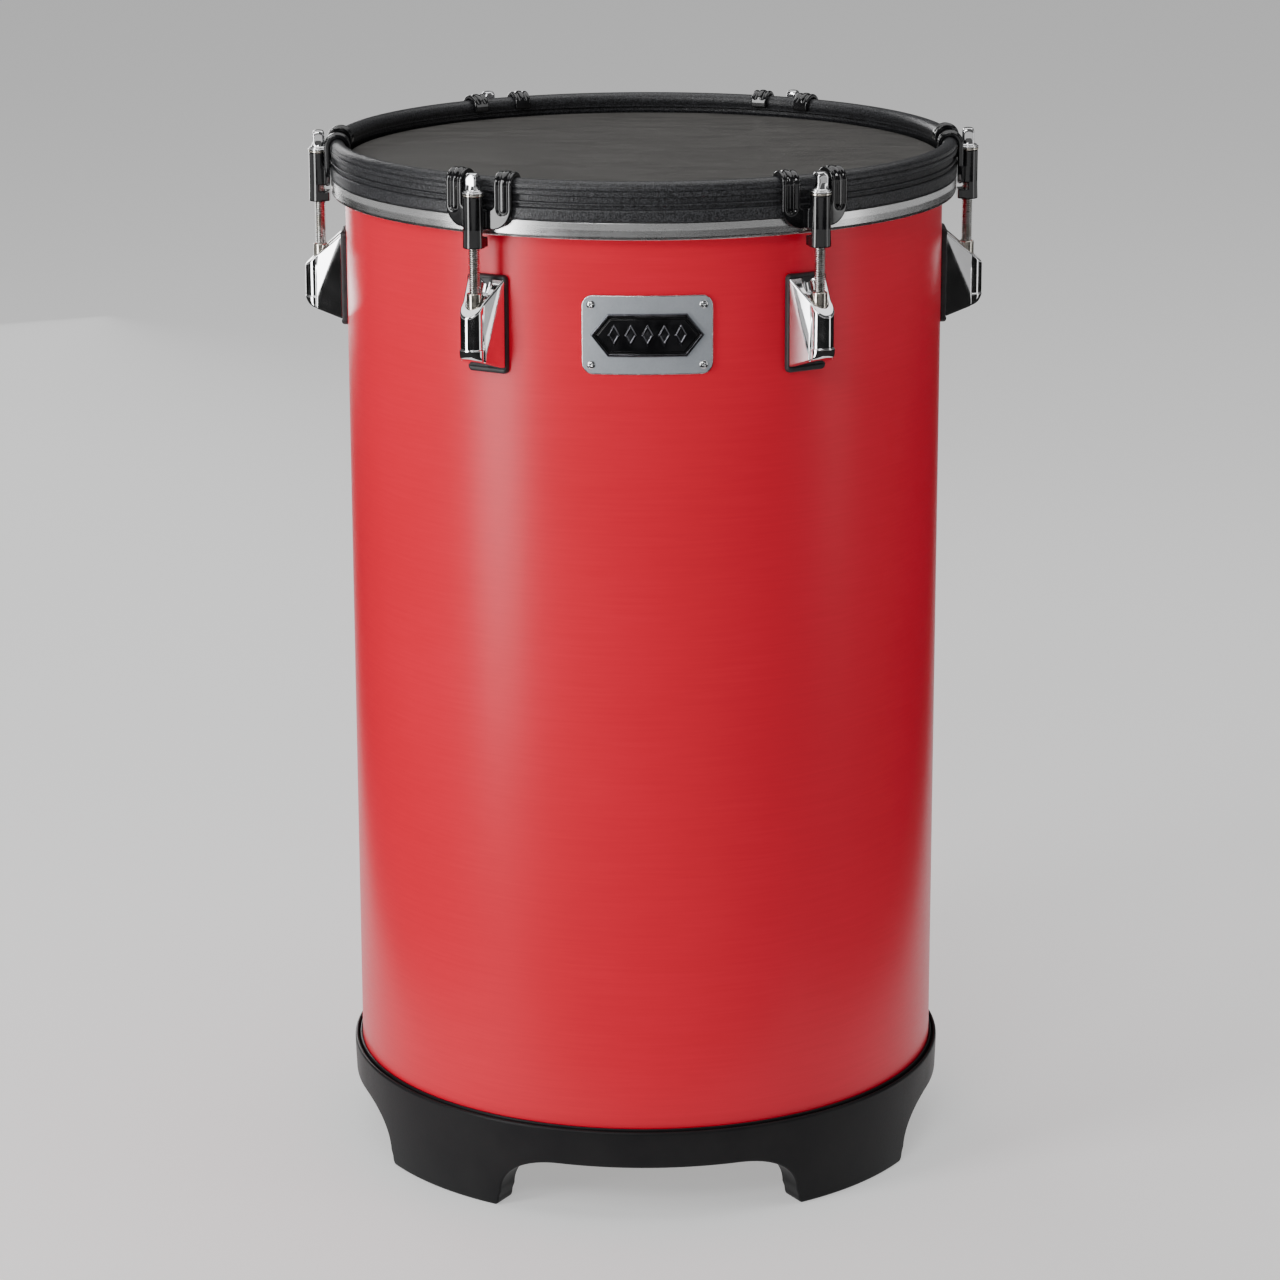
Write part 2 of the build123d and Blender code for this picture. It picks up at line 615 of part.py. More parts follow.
with BuildPart() as gasket_master:
    gasket_middle = (GASKET_BOTTOM + GASKET_TOP) / 2
    with BuildSketch(tangent_plane(0, SHELL_R / 2, gasket_middle)):
        RectangleRounded(2 * GASKET_HALF, GASKET_TOP - GASKET_BOTTOM, GASKET_CORNER)
    extrude(amount=CASING_BACK - RUN_GAP - SHELL_R / 2)
    with BuildSketch(Plane.XY.offset(GASKET_BOTTOM - PAST)):
        Circle(GASKET_INNER_R)
    extrude(amount=GASKET_TOP - GASKET_BOTTOM + 2 * PAST, mode=Mode.SUBTRACT)
    for height in SCREW_HEIGHTS:
        radial_cylinder(0, height, SCREW_HOLE_R, SHELL_R - PAST, CASING_BACK + PAST, Mode.SUBTRACT)
save_around(gasket_master, "lug_gasket")

washer_inner_r = TUBE_INNER_R - SCREW_WASHER_T - SCREW_WASHER_SEAT_GAP

with BuildPart() as lug_screws:
    for azimuth in LUG_AZIMUTHS:
        for height in SCREW_HEIGHTS:
            head_inner = washer_inner_r - RUN_GAP - SCREW_HEAD_T
            socket_floor = head_inner + SCREW_SOCKET_DEPTH
            radial_cylinder(azimuth, height, SCREW_HEAD_R, head_inner, washer_inner_r - RUN_GAP)
            radial_cylinder(azimuth, height, SCREW_R, head_inner, SCREW_TIP_R)
            radial_cylinder(azimuth, height, SCREW_SOCKET_R, head_inner - PAST, socket_floor, Mode.SUBTRACT)
save(lug_screws, "lug_screws")

with BuildPart() as screw_washers:
    for azimuth in LUG_AZIMUTHS:
        for height in SCREW_HEIGHTS:
            washer_outer_r = washer_inner_r + SCREW_WASHER_T
            radial_cylinder(azimuth, height, SCREW_WASHER_R, washer_inner_r, washer_outer_r)
            hole_end = washer_outer_r + PAST
            radial_cylinder(azimuth, height, SCREW_HOLE_R, washer_inner_r - PAST, hole_end, Mode.SUBTRACT)
save(screw_washers, "screw_washers")
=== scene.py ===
import json
import math
import bmesh
import bpy
import numpy as np
from mathutils import Matrix, Vector


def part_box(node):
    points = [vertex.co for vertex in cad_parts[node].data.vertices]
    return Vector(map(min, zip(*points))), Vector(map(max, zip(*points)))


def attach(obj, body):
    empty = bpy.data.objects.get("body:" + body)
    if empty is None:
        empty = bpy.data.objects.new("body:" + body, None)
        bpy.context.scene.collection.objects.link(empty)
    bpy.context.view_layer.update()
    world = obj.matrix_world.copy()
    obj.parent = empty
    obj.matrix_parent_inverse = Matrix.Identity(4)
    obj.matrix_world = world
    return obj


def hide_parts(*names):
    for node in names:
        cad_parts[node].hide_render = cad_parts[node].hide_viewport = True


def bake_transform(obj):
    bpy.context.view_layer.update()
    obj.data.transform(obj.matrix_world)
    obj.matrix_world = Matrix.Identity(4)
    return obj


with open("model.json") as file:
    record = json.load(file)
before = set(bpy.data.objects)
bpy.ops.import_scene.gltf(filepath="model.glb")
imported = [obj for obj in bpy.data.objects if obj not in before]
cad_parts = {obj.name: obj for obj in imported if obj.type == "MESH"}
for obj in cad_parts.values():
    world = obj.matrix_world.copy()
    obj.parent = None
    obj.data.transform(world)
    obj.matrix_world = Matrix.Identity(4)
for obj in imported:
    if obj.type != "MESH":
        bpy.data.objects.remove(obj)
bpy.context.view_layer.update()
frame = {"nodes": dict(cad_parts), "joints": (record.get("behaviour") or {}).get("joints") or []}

# Shapes are worked out in millimetres and written in metres.
MM = 0.001


# ---- places taken from the frame
def box_mm(node):
    """Lowest and highest corner of a CAD node, in millimetres."""
    low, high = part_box(node)
    return np.array(low) / MM, np.array(high) / MM


(_, _, COVERING_BOTTOM), (SHELL_R, _, COVERING_TOP) = box_mm("shell_covering")
(_, _, TUBE_BOTTOM), (TUBE_R, _, BEARING_EDGE) = box_mm("shell_tube")
(_, _, FILM_BOTTOM), (_, _, FILM_TOP) = box_mm("drumhead_film")
(_, _, FLESH_BOTTOM), (FLESH_R, _, FLESH_TOP) = box_mm("flesh_hoop")
(_, _, HOOP_BOTTOM), (HOOP_R, _, HOOP_TOP) = box_mm("counterhoop")
(_, _, WASHER_BOTTOM), (_, _, WASHER_TOP) = box_mm("rod_washers")
BASE_TOP = box_mm("foot_ring")[1][2]
CLAW_LOW, CLAW_HIGH = box_mm("claw_2")
ROD_LOW, ROD_HIGH = box_mm("tension_rod_2")
CASING_LOW, CASING_HIGH = box_mm("lug_casing_2")
GASKET_LOW, GASKET_HIGH = box_mm("lug_gasket_2")
BADGE_LOW, BADGE_HIGH = box_mm("badge_plate")

ROD_PLACES = [joint["pos_m"] for joint in frame["joints"] if joint["type"] == "hinge"]
ROD_AXIS_R = math.hypot(*ROD_PLACES[0][:2]) / MM
LUG_AZIMUTHS = [math.degrees(math.atan2(y, x)) for x, y, _ in ROD_PLACES]

TUBE_WALL = 6.0
RING_SEGMENTS = 288


# ---- mesh helpers
def linked(name, data):
    """Object in the scene that holds the given data."""
    piece = bpy.data.objects.new(name, data)
    bpy.context.scene.collection.objects.link(piece)
    return piece


def new_object(name, points, faces, material, normals=None):
    """Smooth mesh object from points in millimetres, with given vertex normals if there are any."""
    mesh = bpy.data.meshes.new(name)
    mesh.from_pydata((np.asarray(points, float) * MM).tolist(), [], np.asarray(faces).tolist())
    mesh.validate()
    mesh.shade_smooth()
    if normals is not None:
        mesh.normals_split_custom_set_from_vertices(np.asarray(normals, float).tolist())
    mesh.materials.append(material)
    return linked(name, mesh)


def settle(piece, body, slot, *nodes):
    """Hang a piece on the body it rides on and hide the CAD nodes it stands for. The slot argument is not
    used.
    """
    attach(piece, body)
    if nodes:
        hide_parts(*nodes)


def settle_each(pieces, body, slot, node):
    """Settle one piece for each numbered CAD node. A body's name that ends in _ gets the number too."""
    for number, piece in enumerate(pieces, 1):
        settle(piece, f"{body}{number}" if body.endswith("_") else body, slot, f"{node}_{number}")


def moved(piece, matrix):
    """Move a piece's mesh, which keeps its own normals."""
    turn = matrix.to_3x3()
    normals = [turn @ corner.vector for corner in piece.data.corner_normals]
    piece.data.transform(matrix)
    piece.data.normals_split_custom_set(normals)
    return piece


def at_each_lug(master, name):
    """Copies of a piece modelled at azimuth 0, turned to the lugs. The master is removed."""
    copies = []
    for number, azimuth in enumerate(LUG_AZIMUTHS, 1):
        copy = linked(f"{name}_{number}", master.data.copy())
        copies.append(moved(copy, Matrix.Rotation(math.radians(azimuth), 4, "Z")))
    bpy.data.objects.remove(master)
    return copies


def rounded_profile(corners, arc_step=24.0):
    """Closed outline with every corner rounded, as points and normals.

    Corners are (r, z, radius), anticlockwise. An arc has a point every arc_step degrees or less.
    """
    corners = np.array(corners, float)
    points, normals = [], []
    for index, (*here, radius) in enumerate(corners):
        u = corners[index - 1][:2] - here
        v = corners[(index + 1) % len(corners)][:2] - here
        u /= np.linalg.norm(u)
        v /= np.linalg.norm(v)
        half = math.acos(max(-1.0, min(1.0, float(u @ v)))) / 2
        turn_left = u[1] * v[0] - u[0] * v[1] > 0
        reach = radius / math.tan(half)
        centre = here + (u + v) / np.linalg.norm(u + v) * radius / math.sin(half)
        first = math.atan2(*(here + u * reach - centre)[::-1])
        last = math.atan2(*(here + v * reach - centre)[::-1])
        sweep = (last - first + math.pi) % (2 * math.pi) - math.pi
        steps = max(1, math.ceil(abs(math.degrees(sweep)) / arc_step))
        for step in range(steps + 1):
            angle = first + sweep * step / steps
            out = np.array([math.cos(angle), math.sin(angle)])
            points.append(centre + out * radius)
            normals.append(out if turn_left else -out)
    return np.array(points), np.array(normals)


def subdivided(points, normals, longest):
    """The same closed outline with its long runs divided."""
    new_points, new_normals = [], []
    for index in range(len(points)):
        a, b = points[index], points[(index + 1) % len(points)]
        na, nb = normals[index], normals[(index + 1) % len(points)]
        parts = max(1, math.ceil(np.linalg.norm(b - a) / longest))
        for part in range(parts):
            share = part / parts
            new_points.append(a + (b - a) * share)
            blend = na + (nb - na) * share
            new_normals.append(blend / np.linalg.norm(blend))
    return np.array(new_points), np.array(new_normals)


def closed_quads(rows, count):
    """Quads of a grid of rows by count points that closes on itself both ways."""
    i, j = np.arange(rows)[:, None], np.arange(count)[None, :]
    i2, j2 = (i + 1) % rows, (j + 1) % count
    corners = (i * count + j, i2 * count + j, i2 * count + j2, i * count + j2)
    return np.stack(np.broadcast_arrays(*corners), -1).reshape(-1, 4)


def lathe(name, outline, material, segments=RING_SEGMENTS):
    """Ring about the drum's axis from a closed outline of points and normals."""
    angles = np.arange(segments)[:, None] * 2 * math.pi / segments
    spun = []
    for r, z in (values.T for values in outline):
        level = np.broadcast_to(z, (segments, len(z)))
        spun.append(np.stack([np.cos(angles) * r, np.sin(angles) * r, level], -1).reshape(-1, 3))
    return new_object(name, spun[0], closed_quads(segments, len(outline[0])), material, spun[1])


# ---- solids from distance fields
def smooth_min(a, b, k):
    """Union of two distance fields with a fillet of about k."""
    h = np.clip(0.5 + 0.5 * (b - a) / k, 0, 1)
    return b + (a - b) * h - k * h * (1 - h)


def smooth_max(a, b, k):
    """Intersection of two distance fields with a rounded edge of about k."""
    return -smooth_min(-a, -b, k)


def rise(value, start, end):
    """Smooth step from 0 at start to 1 at end."""
    share = np.clip((value - start) / (end - start), 0, 1)
    return share * share * (3 - 2 * share)


def plane_through(points, inside):
    """Distance field of the half space bounded by three points, negative on the side of a fourth."""
    a, b, c = (np.array(p, float) for p in points)
    normal = np.cross(b - a, c - a)
    normal /= np.linalg.norm(normal)
    if normal @ (np.array(inside, float) - a) > 0:
        normal = -normal
    return lambda x, y, z: normal[0] * (x - a[0]) + normal[1] * (y - a[1]) + normal[2] * (z - a[2])


def rounded_box(dx, dy, dz, half, radius):
    """Distance to a box with rounded edges; dx, dy, dz are offsets from its centre."""
    qx, qy, qz = (np.abs(d) - h + radius for d, h in zip((dx, dy, dz), half))
    outside = np.sqrt(np.maximum(qx, 0) ** 2 + np.maximum(qy, 0) ** 2 + np.maximum(qz, 0) ** 2)
    return outside + np.minimum(np.maximum(qx, np.maximum(qy, qz)), 0) - radius


def rounded_rectangle(dx, dy, half_x, half_y, radius):
    """Distance to a rectangle with rounded corners in a plane."""
    qx = np.abs(dx) - half_x + radius
    qy = np.abs(dy) - half_y + radius
    return np.hypot(np.maximum(qx, 0), np.maximum(qy, 0)) + np.minimum(np.maximum(qx, qy), 0) - radius


def capped_cylinder(radial, height, radius, bottom, top, edge):
    """Distance to an upright cylinder with rounded rims; radial is the distance from its axis."""
    half = (top - bottom) / 2
    return rounded_rectangle(radial, height - (top + bottom) / 2, radius, half, edge)


def gradient(field, p, h=0.01):
    """Central-difference gradient of a field at points p."""
    g = np.empty_like(p)
    for axis in range(3):
        step = np.zeros(3)
        step[axis] = h
        a, b = p + step, p - step
        g[:, axis] = (field(*a.T) - field(*b.T)) / (2 * h)
    return g


def polygonize(field, low, high, step, relax=2):
    """Quads on the zero surface of field, with exact points and normals. step is one size or three."""
    step = np.broadcast_to(np.asarray(step, float), 3)
    low = np.array(low, float) - 1.5 * step
    count = np.ceil((np.array(high, float) + 1.5 * step - low) / step).astype(int) + 1
    axes = [low[k] + step[k] * np.arange(count[k]) for k in range(3)]
    value = field(*(grid.ravel() for grid in np.meshgrid(*axes, indexing="ij"))).reshape(count)
    inside = value < 0
    cells = count - 1
    total = np.zeros((*cells, 3))
    hits = np.zeros(cells)
    for a in np.ndindex(2, 2, 2):
        for axis in range(3):
            if a[axis]:
                continue
            b = a[:axis] + (1,) + a[axis + 1:]
            va, vb = (value[tuple(slice(k, k + n) for k, n in zip(corner, cells))] for corner in (a, b))
            crossing = (va < 0) != (vb < 0)
            share = np.where(crossing, va / np.where(crossing, va - vb, 1), 0)
            for k in range(3):
                total[..., k] += np.where(crossing, a[k] + (share if k == axis else 0), 0)
            hits += crossing
    active = hits > 0
    index = np.full(cells, -1)
    index[active] = np.arange(active.sum())
    cell = np.argwhere(active)
    points = low + step * (cell + total[active] / hits[active][:, None])
    quads = []
    for axis in range(3):
        u, v = (axis + 1) % 3, (axis + 2) % 3
        first, second = np.delete(inside, -1, axis), np.delete(inside, 0, axis)
        edges = np.argwhere(first != second)
        pair = edges[:, [u, v]]
        edges = edges[((pair > 0) & (pair < cells[[u, v]])).all(1)]
        ring = []
        for du, dv in ((1, 1), (0, 1), (0, 0), (1, 0)):
            at = edges.copy()
            at[:, u] -= du
            at[:, v] -= dv
            ring.append(index[tuple(at.T)])
        ring = np.stack(ring, 1)
        outward = first[tuple(edges.T)]
        quads.append(np.where(outward[:, None], ring, ring[:, ::-1]))
    quads = np.concatenate(quads)

    def onto_surface(p, rounds):
        for _ in range(rounds):
            g = gradient(field, p)
            length2 = np.maximum((g ** 2).sum(1), 1e-6)
            shift = -field(*p.T)[:, None] * g / length2[:, None]
            p = p + np.clip(shift, -step, step)
        return p

    points = onto_surface(points, 2)
    for _ in range(relax):
        near = np.zeros_like(points)
        times = np.zeros(len(points))
        for k in range(4):
            a, b = quads[:, k], quads[:, (k + 1) % 4]
            np.add.at(near, a, points[b])
            np.add.at(times, a, 1)
        points = points + 0.5 * (near / times[:, None] - points)
        points = onto_surface(points, 2)
    normals = gradient(field, points)
    normals /= np.linalg.norm(normals, axis=1)[:, None]
    return points, quads, normals


def solid(name, field, low, high, step, material):
    """Object on the zero surface of a distance field."""
    points, quads, normals = polygonize(field, low, high, step)
    return new_object(name, points, quads, material, normals)


def joined(pieces, name):
    """One object from several, which keep their own normals."""
    bpy.ops.object.select_all(action="DESELECT")
    for piece in pieces:
        piece.select_set(True)
    bpy.context.view_layer.objects.active = pieces[0]
    bpy.ops.object.join()
    pieces[0].name = name
    return pieces[0]


# ---- materials
class Surface:
    """A node material on one Principled shader, built up node by node."""

    def __init__(self, name, color, roughness, metallic=0.0, **constants):
        self.material = bpy.data.materials.new(name)
        self.material.use_nodes = True
        self.nodes = self.material.node_tree.nodes
        self.links = self.material.node_tree.links
        self.shader = self.nodes["Principled BSDF"]
        self.shader.inputs["Base Color"].default_value = (*color, 1)
        self.shader.inputs["Roughness"].default_value = roughness
        self.shader.inputs["Metallic"].default_value = metallic
        for key, value in constants.items():
            self.shader.inputs[key.replace("_", " ")].default_value = value
        self.place = self.nodes.new("ShaderNodeTexCoord").outputs["Object"]

    def scaled(self, scale):
        """Object coordinates times a scale on each axis."""
        node = self.nodes.new("ShaderNodeMapping")
        node.inputs["Scale"].default_value = scale
        self.links.new(self.place, node.inputs["Vector"])
        return node.outputs["Vector"]

    def noise(self, scale, detail=3.0, rough=0.5, stretch=(1, 1, 1)):
        """Noise between 0 and 1, with scale in features a metre."""
        node = self.nodes.new("ShaderNodeTexNoise")
        node.inputs["Scale"].default_value = scale
        node.inputs["Detail"].default_value = detail
        node.inputs["Roughness"].default_value = rough
        self.links.new(self.scaled(stretch), node.inputs["Vector"])
        return node.outputs["Fac"]

    def ramp(self, value, stops):
        """Colour ramp over a value: stops are (position, colour)."""
        node = self.nodes.new("ShaderNodeValToRGB")
        elements = node.color_ramp.elements
        while len(elements) < len(stops):
            elements.new(0.5)
        for element, (position, color) in zip(elements, stops):
            element.position = position
            element.color = (*color, 1)
        self.links.new(value, node.inputs["Fac"])
        return node.outputs["Color"]

    def spread(self, value, low, high, start=0.3, end=0.7):
        """Map a value's middle range to low..high."""
        node = self.nodes.new("ShaderNodeMapRange")
        node.inputs["From Min"].default_value = start
        node.inputs["From Max"].default_value = end
        node.inputs["To Min"].default_value = low
        node.inputs["To Max"].default_value = high
        self.links.new(value, node.inputs["Value"])
        return node.outputs["Result"]

    def math(self, operation, a, b):
        """Math node on a socket and a second value, a socket or a number."""
        node = self.nodes.new("ShaderNodeMath")
        node.operation = operation
        self.links.new(a, node.inputs[0])
        if isinstance(b, float):
            node.inputs[1].default_value = b
        else:
            self.links.new(b, node.inputs[1])
        return node.outputs["Value"]

    def blend(self, a, b, share):
        """Sum of a share of value a and the rest of value b."""
        return self.math("ADD", self.math("MULTIPLY", a, share), self.math("MULTIPLY", b, 1 - share))

    def color(self, socket):
        self.links.new(socket, self.shader.inputs["Base Color"])

    def roughness(self, socket):
        self.links.new(socket, self.shader.inputs["Roughness"])

    def bump(self, height, depth, strength=1.0):
        """Bump from a height between 0 and 1, depth in metres."""
        node = self.nodes.new("ShaderNodeBump")
        node.inputs["Strength"].default_value = strength
        node.inputs["Distance"].default_value = depth
        self.links.new(height, node.inputs["Height"])
        self.links.new(node.outputs["Normal"], self.shader.inputs["Normal"])


def red_laminate():
    """Satin red laminate with a fine fibre grain that runs round the drum."""
    s = Surface("red_laminate", (0.66, 0.0, 0.022), 0.31, IOR=1.4)
    grain = s.noise(30, 5, 0.6, (1, 1, 24))
    fine = s.noise(210, 4, 0.65, (1, 1, 6))
    tones = [(0.32, (0.6204, 0.0, 0.02068)), (0.5, (0.66, 0.0, 0.022)), (0.68, (0.70, 0.0, 0.026))]
    s.color(s.ramp(s.blend(grain, s.noise(7, 3, 0.5), 0.5), tones))
    s.roughness(s.spread(s.blend(fine, grain, 0.7), 0.28, 0.36))
    s.bump(fine, 0.00006, 0.35)
    return s.material


def fibre_shell():
    """Bare wound wood-fibre board inside the shell."""
    s = Surface("fibre_shell", (0.36, 0.24, 0.14), 0.75)
    fleck = s.noise(420, 3, 0.6)
    mix = s.blend(s.noise(18, 5, 0.6, (1, 1, 14)), fleck, 0.7)
    s.color(s.ramp(mix, [(0.35, (0.24, 0.15, 0.085)), (0.5, (0.36, 0.24, 0.14)), (0.66, (0.47, 0.33, 0.20))]))
    s.roughness(s.spread(fleck, 0.68, 0.85))
    s.bump(mix, 0.0003, 0.5)
    return s.material


def film_skin():
    """Dark fibre-laminated drumhead film: satin, with a fine felted streak."""
    s = Surface("film_skin", (0.062, 0.059, 0.056), 0.46, Specular_IOR_Level=0.4)
    fleck = s.noise(900, 3, 0.6)
    mix = s.blend(s.noise(34, 6, 0.72, (1, 9, 1)), fleck, 0.6)
    tones = [(0.38, (0.036, 0.034, 0.032)), (0.5, (0.064, 0.061, 0.057)), (0.62, (0.098, 0.094, 0.088))]
    s.color(s.ramp(mix, tones))
    s.roughness(s.spread(mix, 0.40, 0.54))
    s.bump(fleck, 0.00005, 0.4)
    return s.material


def powder_coat():
    """Fine-textured black powder coat on steel."""
    s = Surface("powder_coat", (0.010, 0.010, 0.012), 0.36)
    height = s.blend(s.noise(1300, 2, 0.5), s.noise(480, 2, 0.5), 0.6)
    s.color(s.ramp(s.noise(1250, 2, 0.6), [(0.40, (0.008, 0.008, 0.009)), (0.64, (0.052, 0.053, 0.058))]))
    s.roughness(s.spread(height, 0.46, 0.30))
    s.bump(height, 0.0004, 1.0)
    return s.material


def base_plastic():
    """Satin black moulded plastic with faint flow mottling."""
    s = Surface("base_plastic", (0.010, 0.010, 0.011), 0.42, IOR=1.24)
    mottle = s.noise(26, 4, 0.6)
    fine = s.noise(900, 3, 0.6)
    s.color(s.ramp(mottle, [(0.35, (0.008, 0.008, 0.009)), (0.65, (0.013, 0.013, 0.0135))]))
    s.roughness(s.spread(s.blend(mottle, fine, 0.6), 0.36, 0.50))
    s.bump(fine, 0.00008, 0.4)
    return s.material


def satin_aluminium():
    """Rolled aluminium: fine lines round the hoop, with small blemishes."""
    s = Surface("satin_aluminium", (0.62, 0.62, 0.63), 0.26, 1.0)
    lines = s.noise(30, 5, 0.65, (1, 1, 60))
    mix = s.blend(lines, s.noise(70, 4, 0.6), 0.55)
    s.color(s.ramp(mix, [(0.33, (0.72, 0.715, 0.71)), (0.45, (0.80, 0.80, 0.80)), (0.7, (0.88, 0.88, 0.89))]))
    s.roughness(s.spread(mix, 0.22, 0.32))
    s.bump(lines, 0.00001, 0.25)
    return s.material


def badge_satin():
    """Blue-grey satin metal of the badge plate."""
    s = Surface("badge_satin", (0.54, 0.58, 0.63), 0.42, 0.7)
    fine = s.noise(1100, 3, 0.6)
    mix = s.blend(fine, s.noise(60, 5, 0.7), 0.5)
    s.color(s.ramp(mix, [(0.35, (0.54, 0.58, 0.63)), (0.65, (0.62, 0.66, 0.71))]))
    s.roughness(s.spread(mix, 0.36, 0.50))
    s.bump(fine, 0.00005, 0.4)
    return s.material


def one_noise(name, color, roughness, metallic, noise, tones, gloss, bump=None, **constants):
    """Material whose colour, roughness and bump, if any, all follow one noise."""
    s = Surface(name, color, roughness, metallic, **constants)
    value = s.noise(*noise)
    s.color(s.ramp(value, tones))
    s.roughness(s.spread(value, *gloss))
    if bump:
        s.bump(value, *bump)
    return s.material


RED = red_laminate()
FIBRE = fibre_shell()
FILM = film_skin()
POWDER = powder_coat()
PLASTIC = base_plastic()
ALUMINIUM = satin_aluminium()
BADGE = badge_satin()
# Gloss black enamel on the die-cast claws.
ENAMEL = one_noise(
    "gloss_enamel", (0.004, 0.004, 0.0045), 0.09, 0, (160, 2, 0.5),
    [(0.35, (0.003, 0.003, 0.0035)), (0.65, (0.007, 0.007, 0.008))],
    (0.07, 0.13), (0.0002, 0.12), Coat_Weight=0.5, Coat_Roughness=0.03)
# Bright chrome with faint handling haze.
CHROME = one_noise(
    "chrome", (0.80, 0.80, 0.81), 0.05, 1, (90, 4, 0.6),
    [(0.3, (0.76, 0.76, 0.77)), (0.7, (0.84, 0.84, 0.85))], (0.035, 0.09))
# Polished nickel, a little warm, with fine turning marks.
NICKEL = one_noise(
    "nickel", (0.72, 0.67, 0.59), 0.14, 1, (60, 3, 0.6, (1, 1, 40)),
    [(0.35, (0.62, 0.57, 0.49)), (0.65, (0.80, 0.76, 0.69))], (0.10, 0.22))
# Zinc-plated thread, duller than the polished head, with a little soiling.
THREAD = one_noise(
    "thread_steel", (0.55, 0.54, 0.52), 0.24, 1, (220, 4, 0.6),
    [(0.34, (0.50, 0.47, 0.42)), (0.5, (0.59, 0.58, 0.56)), (0.68, (0.66, 0.66, 0.66))], (0.18, 0.34))
RUBBER = one_noise(
    "gasket_rubber", (0.022, 0.022, 0.024), 0.48, 0, (700, 3, 0.6),
    [(0.35, (0.016, 0.016, 0.018)), (0.65, (0.030, 0.030, 0.032))], (0.40, 0.58), (0.0001, 0.4))
# Bright trimmed edge of the badge plate.
BADGE_EDGE = one_noise(
    "badge_edge", (0.72, 0.76, 0.78), 0.22, 1, (300, 3, 0.6),
    [(0.3, (0.60, 0.64, 0.66)), (0.7, (0.80, 0.84, 0.86))], (0.16, 0.32))
# Dark smoked chrome of the emblem.
SMOKE = one_noise(
    "smoke_chrome", (0.17, 0.17, 0.185), 0.12, 1, (240, 3, 0.6),
    [(0.3, (0.12, 0.12, 0.135)), (0.7, (0.22, 0.22, 0.24))], (0.08, 0.18))
ZINC = one_noise(
    "zinc_plate", (0.74, 0.75, 0.76), 0.20, 1, (500, 3, 0.6),
    [(0.3, (0.64, 0.65, 0.67)), (0.7, (0.82, 0.83, 0.84))], (0.14, 0.28))
# Brown casting resin in the flesh hoop.
RESIN = one_noise(
    "cast_resin", (0.20, 0.15, 0.09), 0.4, 0, (120, 4, 0.6),
    [(0.35, (0.15, 0.11, 0.065)), (0.65, (0.25, 0.19, 0.12))], (0.32, 0.5))
# Natural nylon of the nut bushes.
NYLON = one_noise(
    "nylon", (0.66, 0.64, 0.58), 0.45, 0, (200, 3, 0.6),
    [(0.35, (0.60, 0.58, 0.52)), (0.65, (0.70, 0.68, 0.62))], (0.38, 0.52), Subsurface_Weight=0.1)


# ---- shell
def make_shell():
    tube_inner = TUBE_R - TUBE_WALL
    tube = rounded_profile([
        (tube_inner, TUBE_BOTTOM, 0.3),
        (TUBE_R, TUBE_BOTTOM, 0.3),
        (TUBE_R, BEARING_EDGE, 2.4),
        (tube_inner + 3.0, BEARING_EDGE, 0.5),
        (tube_inner, BEARING_EDGE - 3.0, 0.5),
    ], 15)
    settle(lathe("shell_tube_turned", tube, FIBRE), "shell", "shell_ply", "shell_tube")
    covering = rounded_profile([
        (TUBE_R, COVERING_BOTTOM, 0.05),
        (SHELL_R, COVERING_BOTTOM, 0.15),
        (SHELL_R, COVERING_TOP, 0.15),
        (TUBE_R, COVERING_TOP, 0.05),
    ], 45)
    settle(lathe("shell_covering_wrap", covering, RED), "shell", "red_covering", "shell_covering")


# ---- base ring
FOOT_R = 153.85
FOOT_INNER_R = 139.0
RIM_R = 156.1
RIM_SHOULDER = 44.5
RIM_ROUND = 1.6
WALL_TOP = 48.3 - RIM_ROUND
ARCH_PLANE = 150.0
ARCH_TOP = 28.8
ARCH_CENTRE = (46.6, 8.0)
ARCH_SEMI = (38.0, 20.8)
ARCH_FOOT_T = 86.6
FOOT_ROUND = 3.2
EDGE_ROUND = 1.3
# The lip round the covering: out from the covering and down from the base's top.
SEAT_LIP = [(0.08, 3.0), (0.12, 1.3), (0.35, 0.95), (0.8, 0.82), (1.2, 1.0)]
SEAT_LIP += [(1.42, 1.5), (1.5, 3.6), (1.75, 3.9), (2.05, 3.7), (2.15, 2.3)]
FOOT_MIDDLE = math.pi / 4
QUARTER_TURNS = [corner * math.pi / 2 for corner in range(4)]


def arch_outline():
    """Underside of the ring from the middle of an arch to the middle of a foot.

    Each point is (t, z, share, nt, nz): t is the distance from the arch's middle in the upright plane
    ARCH_PLANE off the drum's axis, share runs from 0 to 1 across half the foot, and (nt, nz) points
    out of the plastic. The arch is cut along the radii.
    """
    flat_end, spring = ARCH_CENTRE
    reach, height = ARCH_SEMI
    outline = [(t, ARCH_TOP, 0.0, 0.0, -1.0) for t in np.linspace(0, flat_end, 12)[:-1]]
    for angle in np.radians(np.linspace(90, 0, 18)):
        normal = np.array([math.cos(angle) / reach, math.sin(angle) / height])
        normal /= -np.linalg.norm(normal)
        outline.append((flat_end + reach * math.cos(angle), spring + height * math.sin(angle), 0.0, *normal))
    lean = np.array([FOOT_ROUND - spring, flat_end + reach - ARCH_FOOT_T])
    lean /= np.linalg.norm(lean)
    outline.append((ARCH_FOOT_T - 0.3, FOOT_ROUND + 1.6, 0.0, *lean))
    foot_start = ARCH_FOOT_T + FOOT_ROUND
    for angle in np.radians(np.linspace(180, 270, 6)):
        out = (math.cos(angle), math.sin(angle))
        outline.append((foot_start + FOOT_ROUND * out[0], FOOT_ROUND + FOOT_ROUND * out[1], 0.0, *out))
    outline += [(foot_start, 0.0, share, 0.0, -1.0) for share in np.linspace(0, 1, 12)[1:]]
    return outline


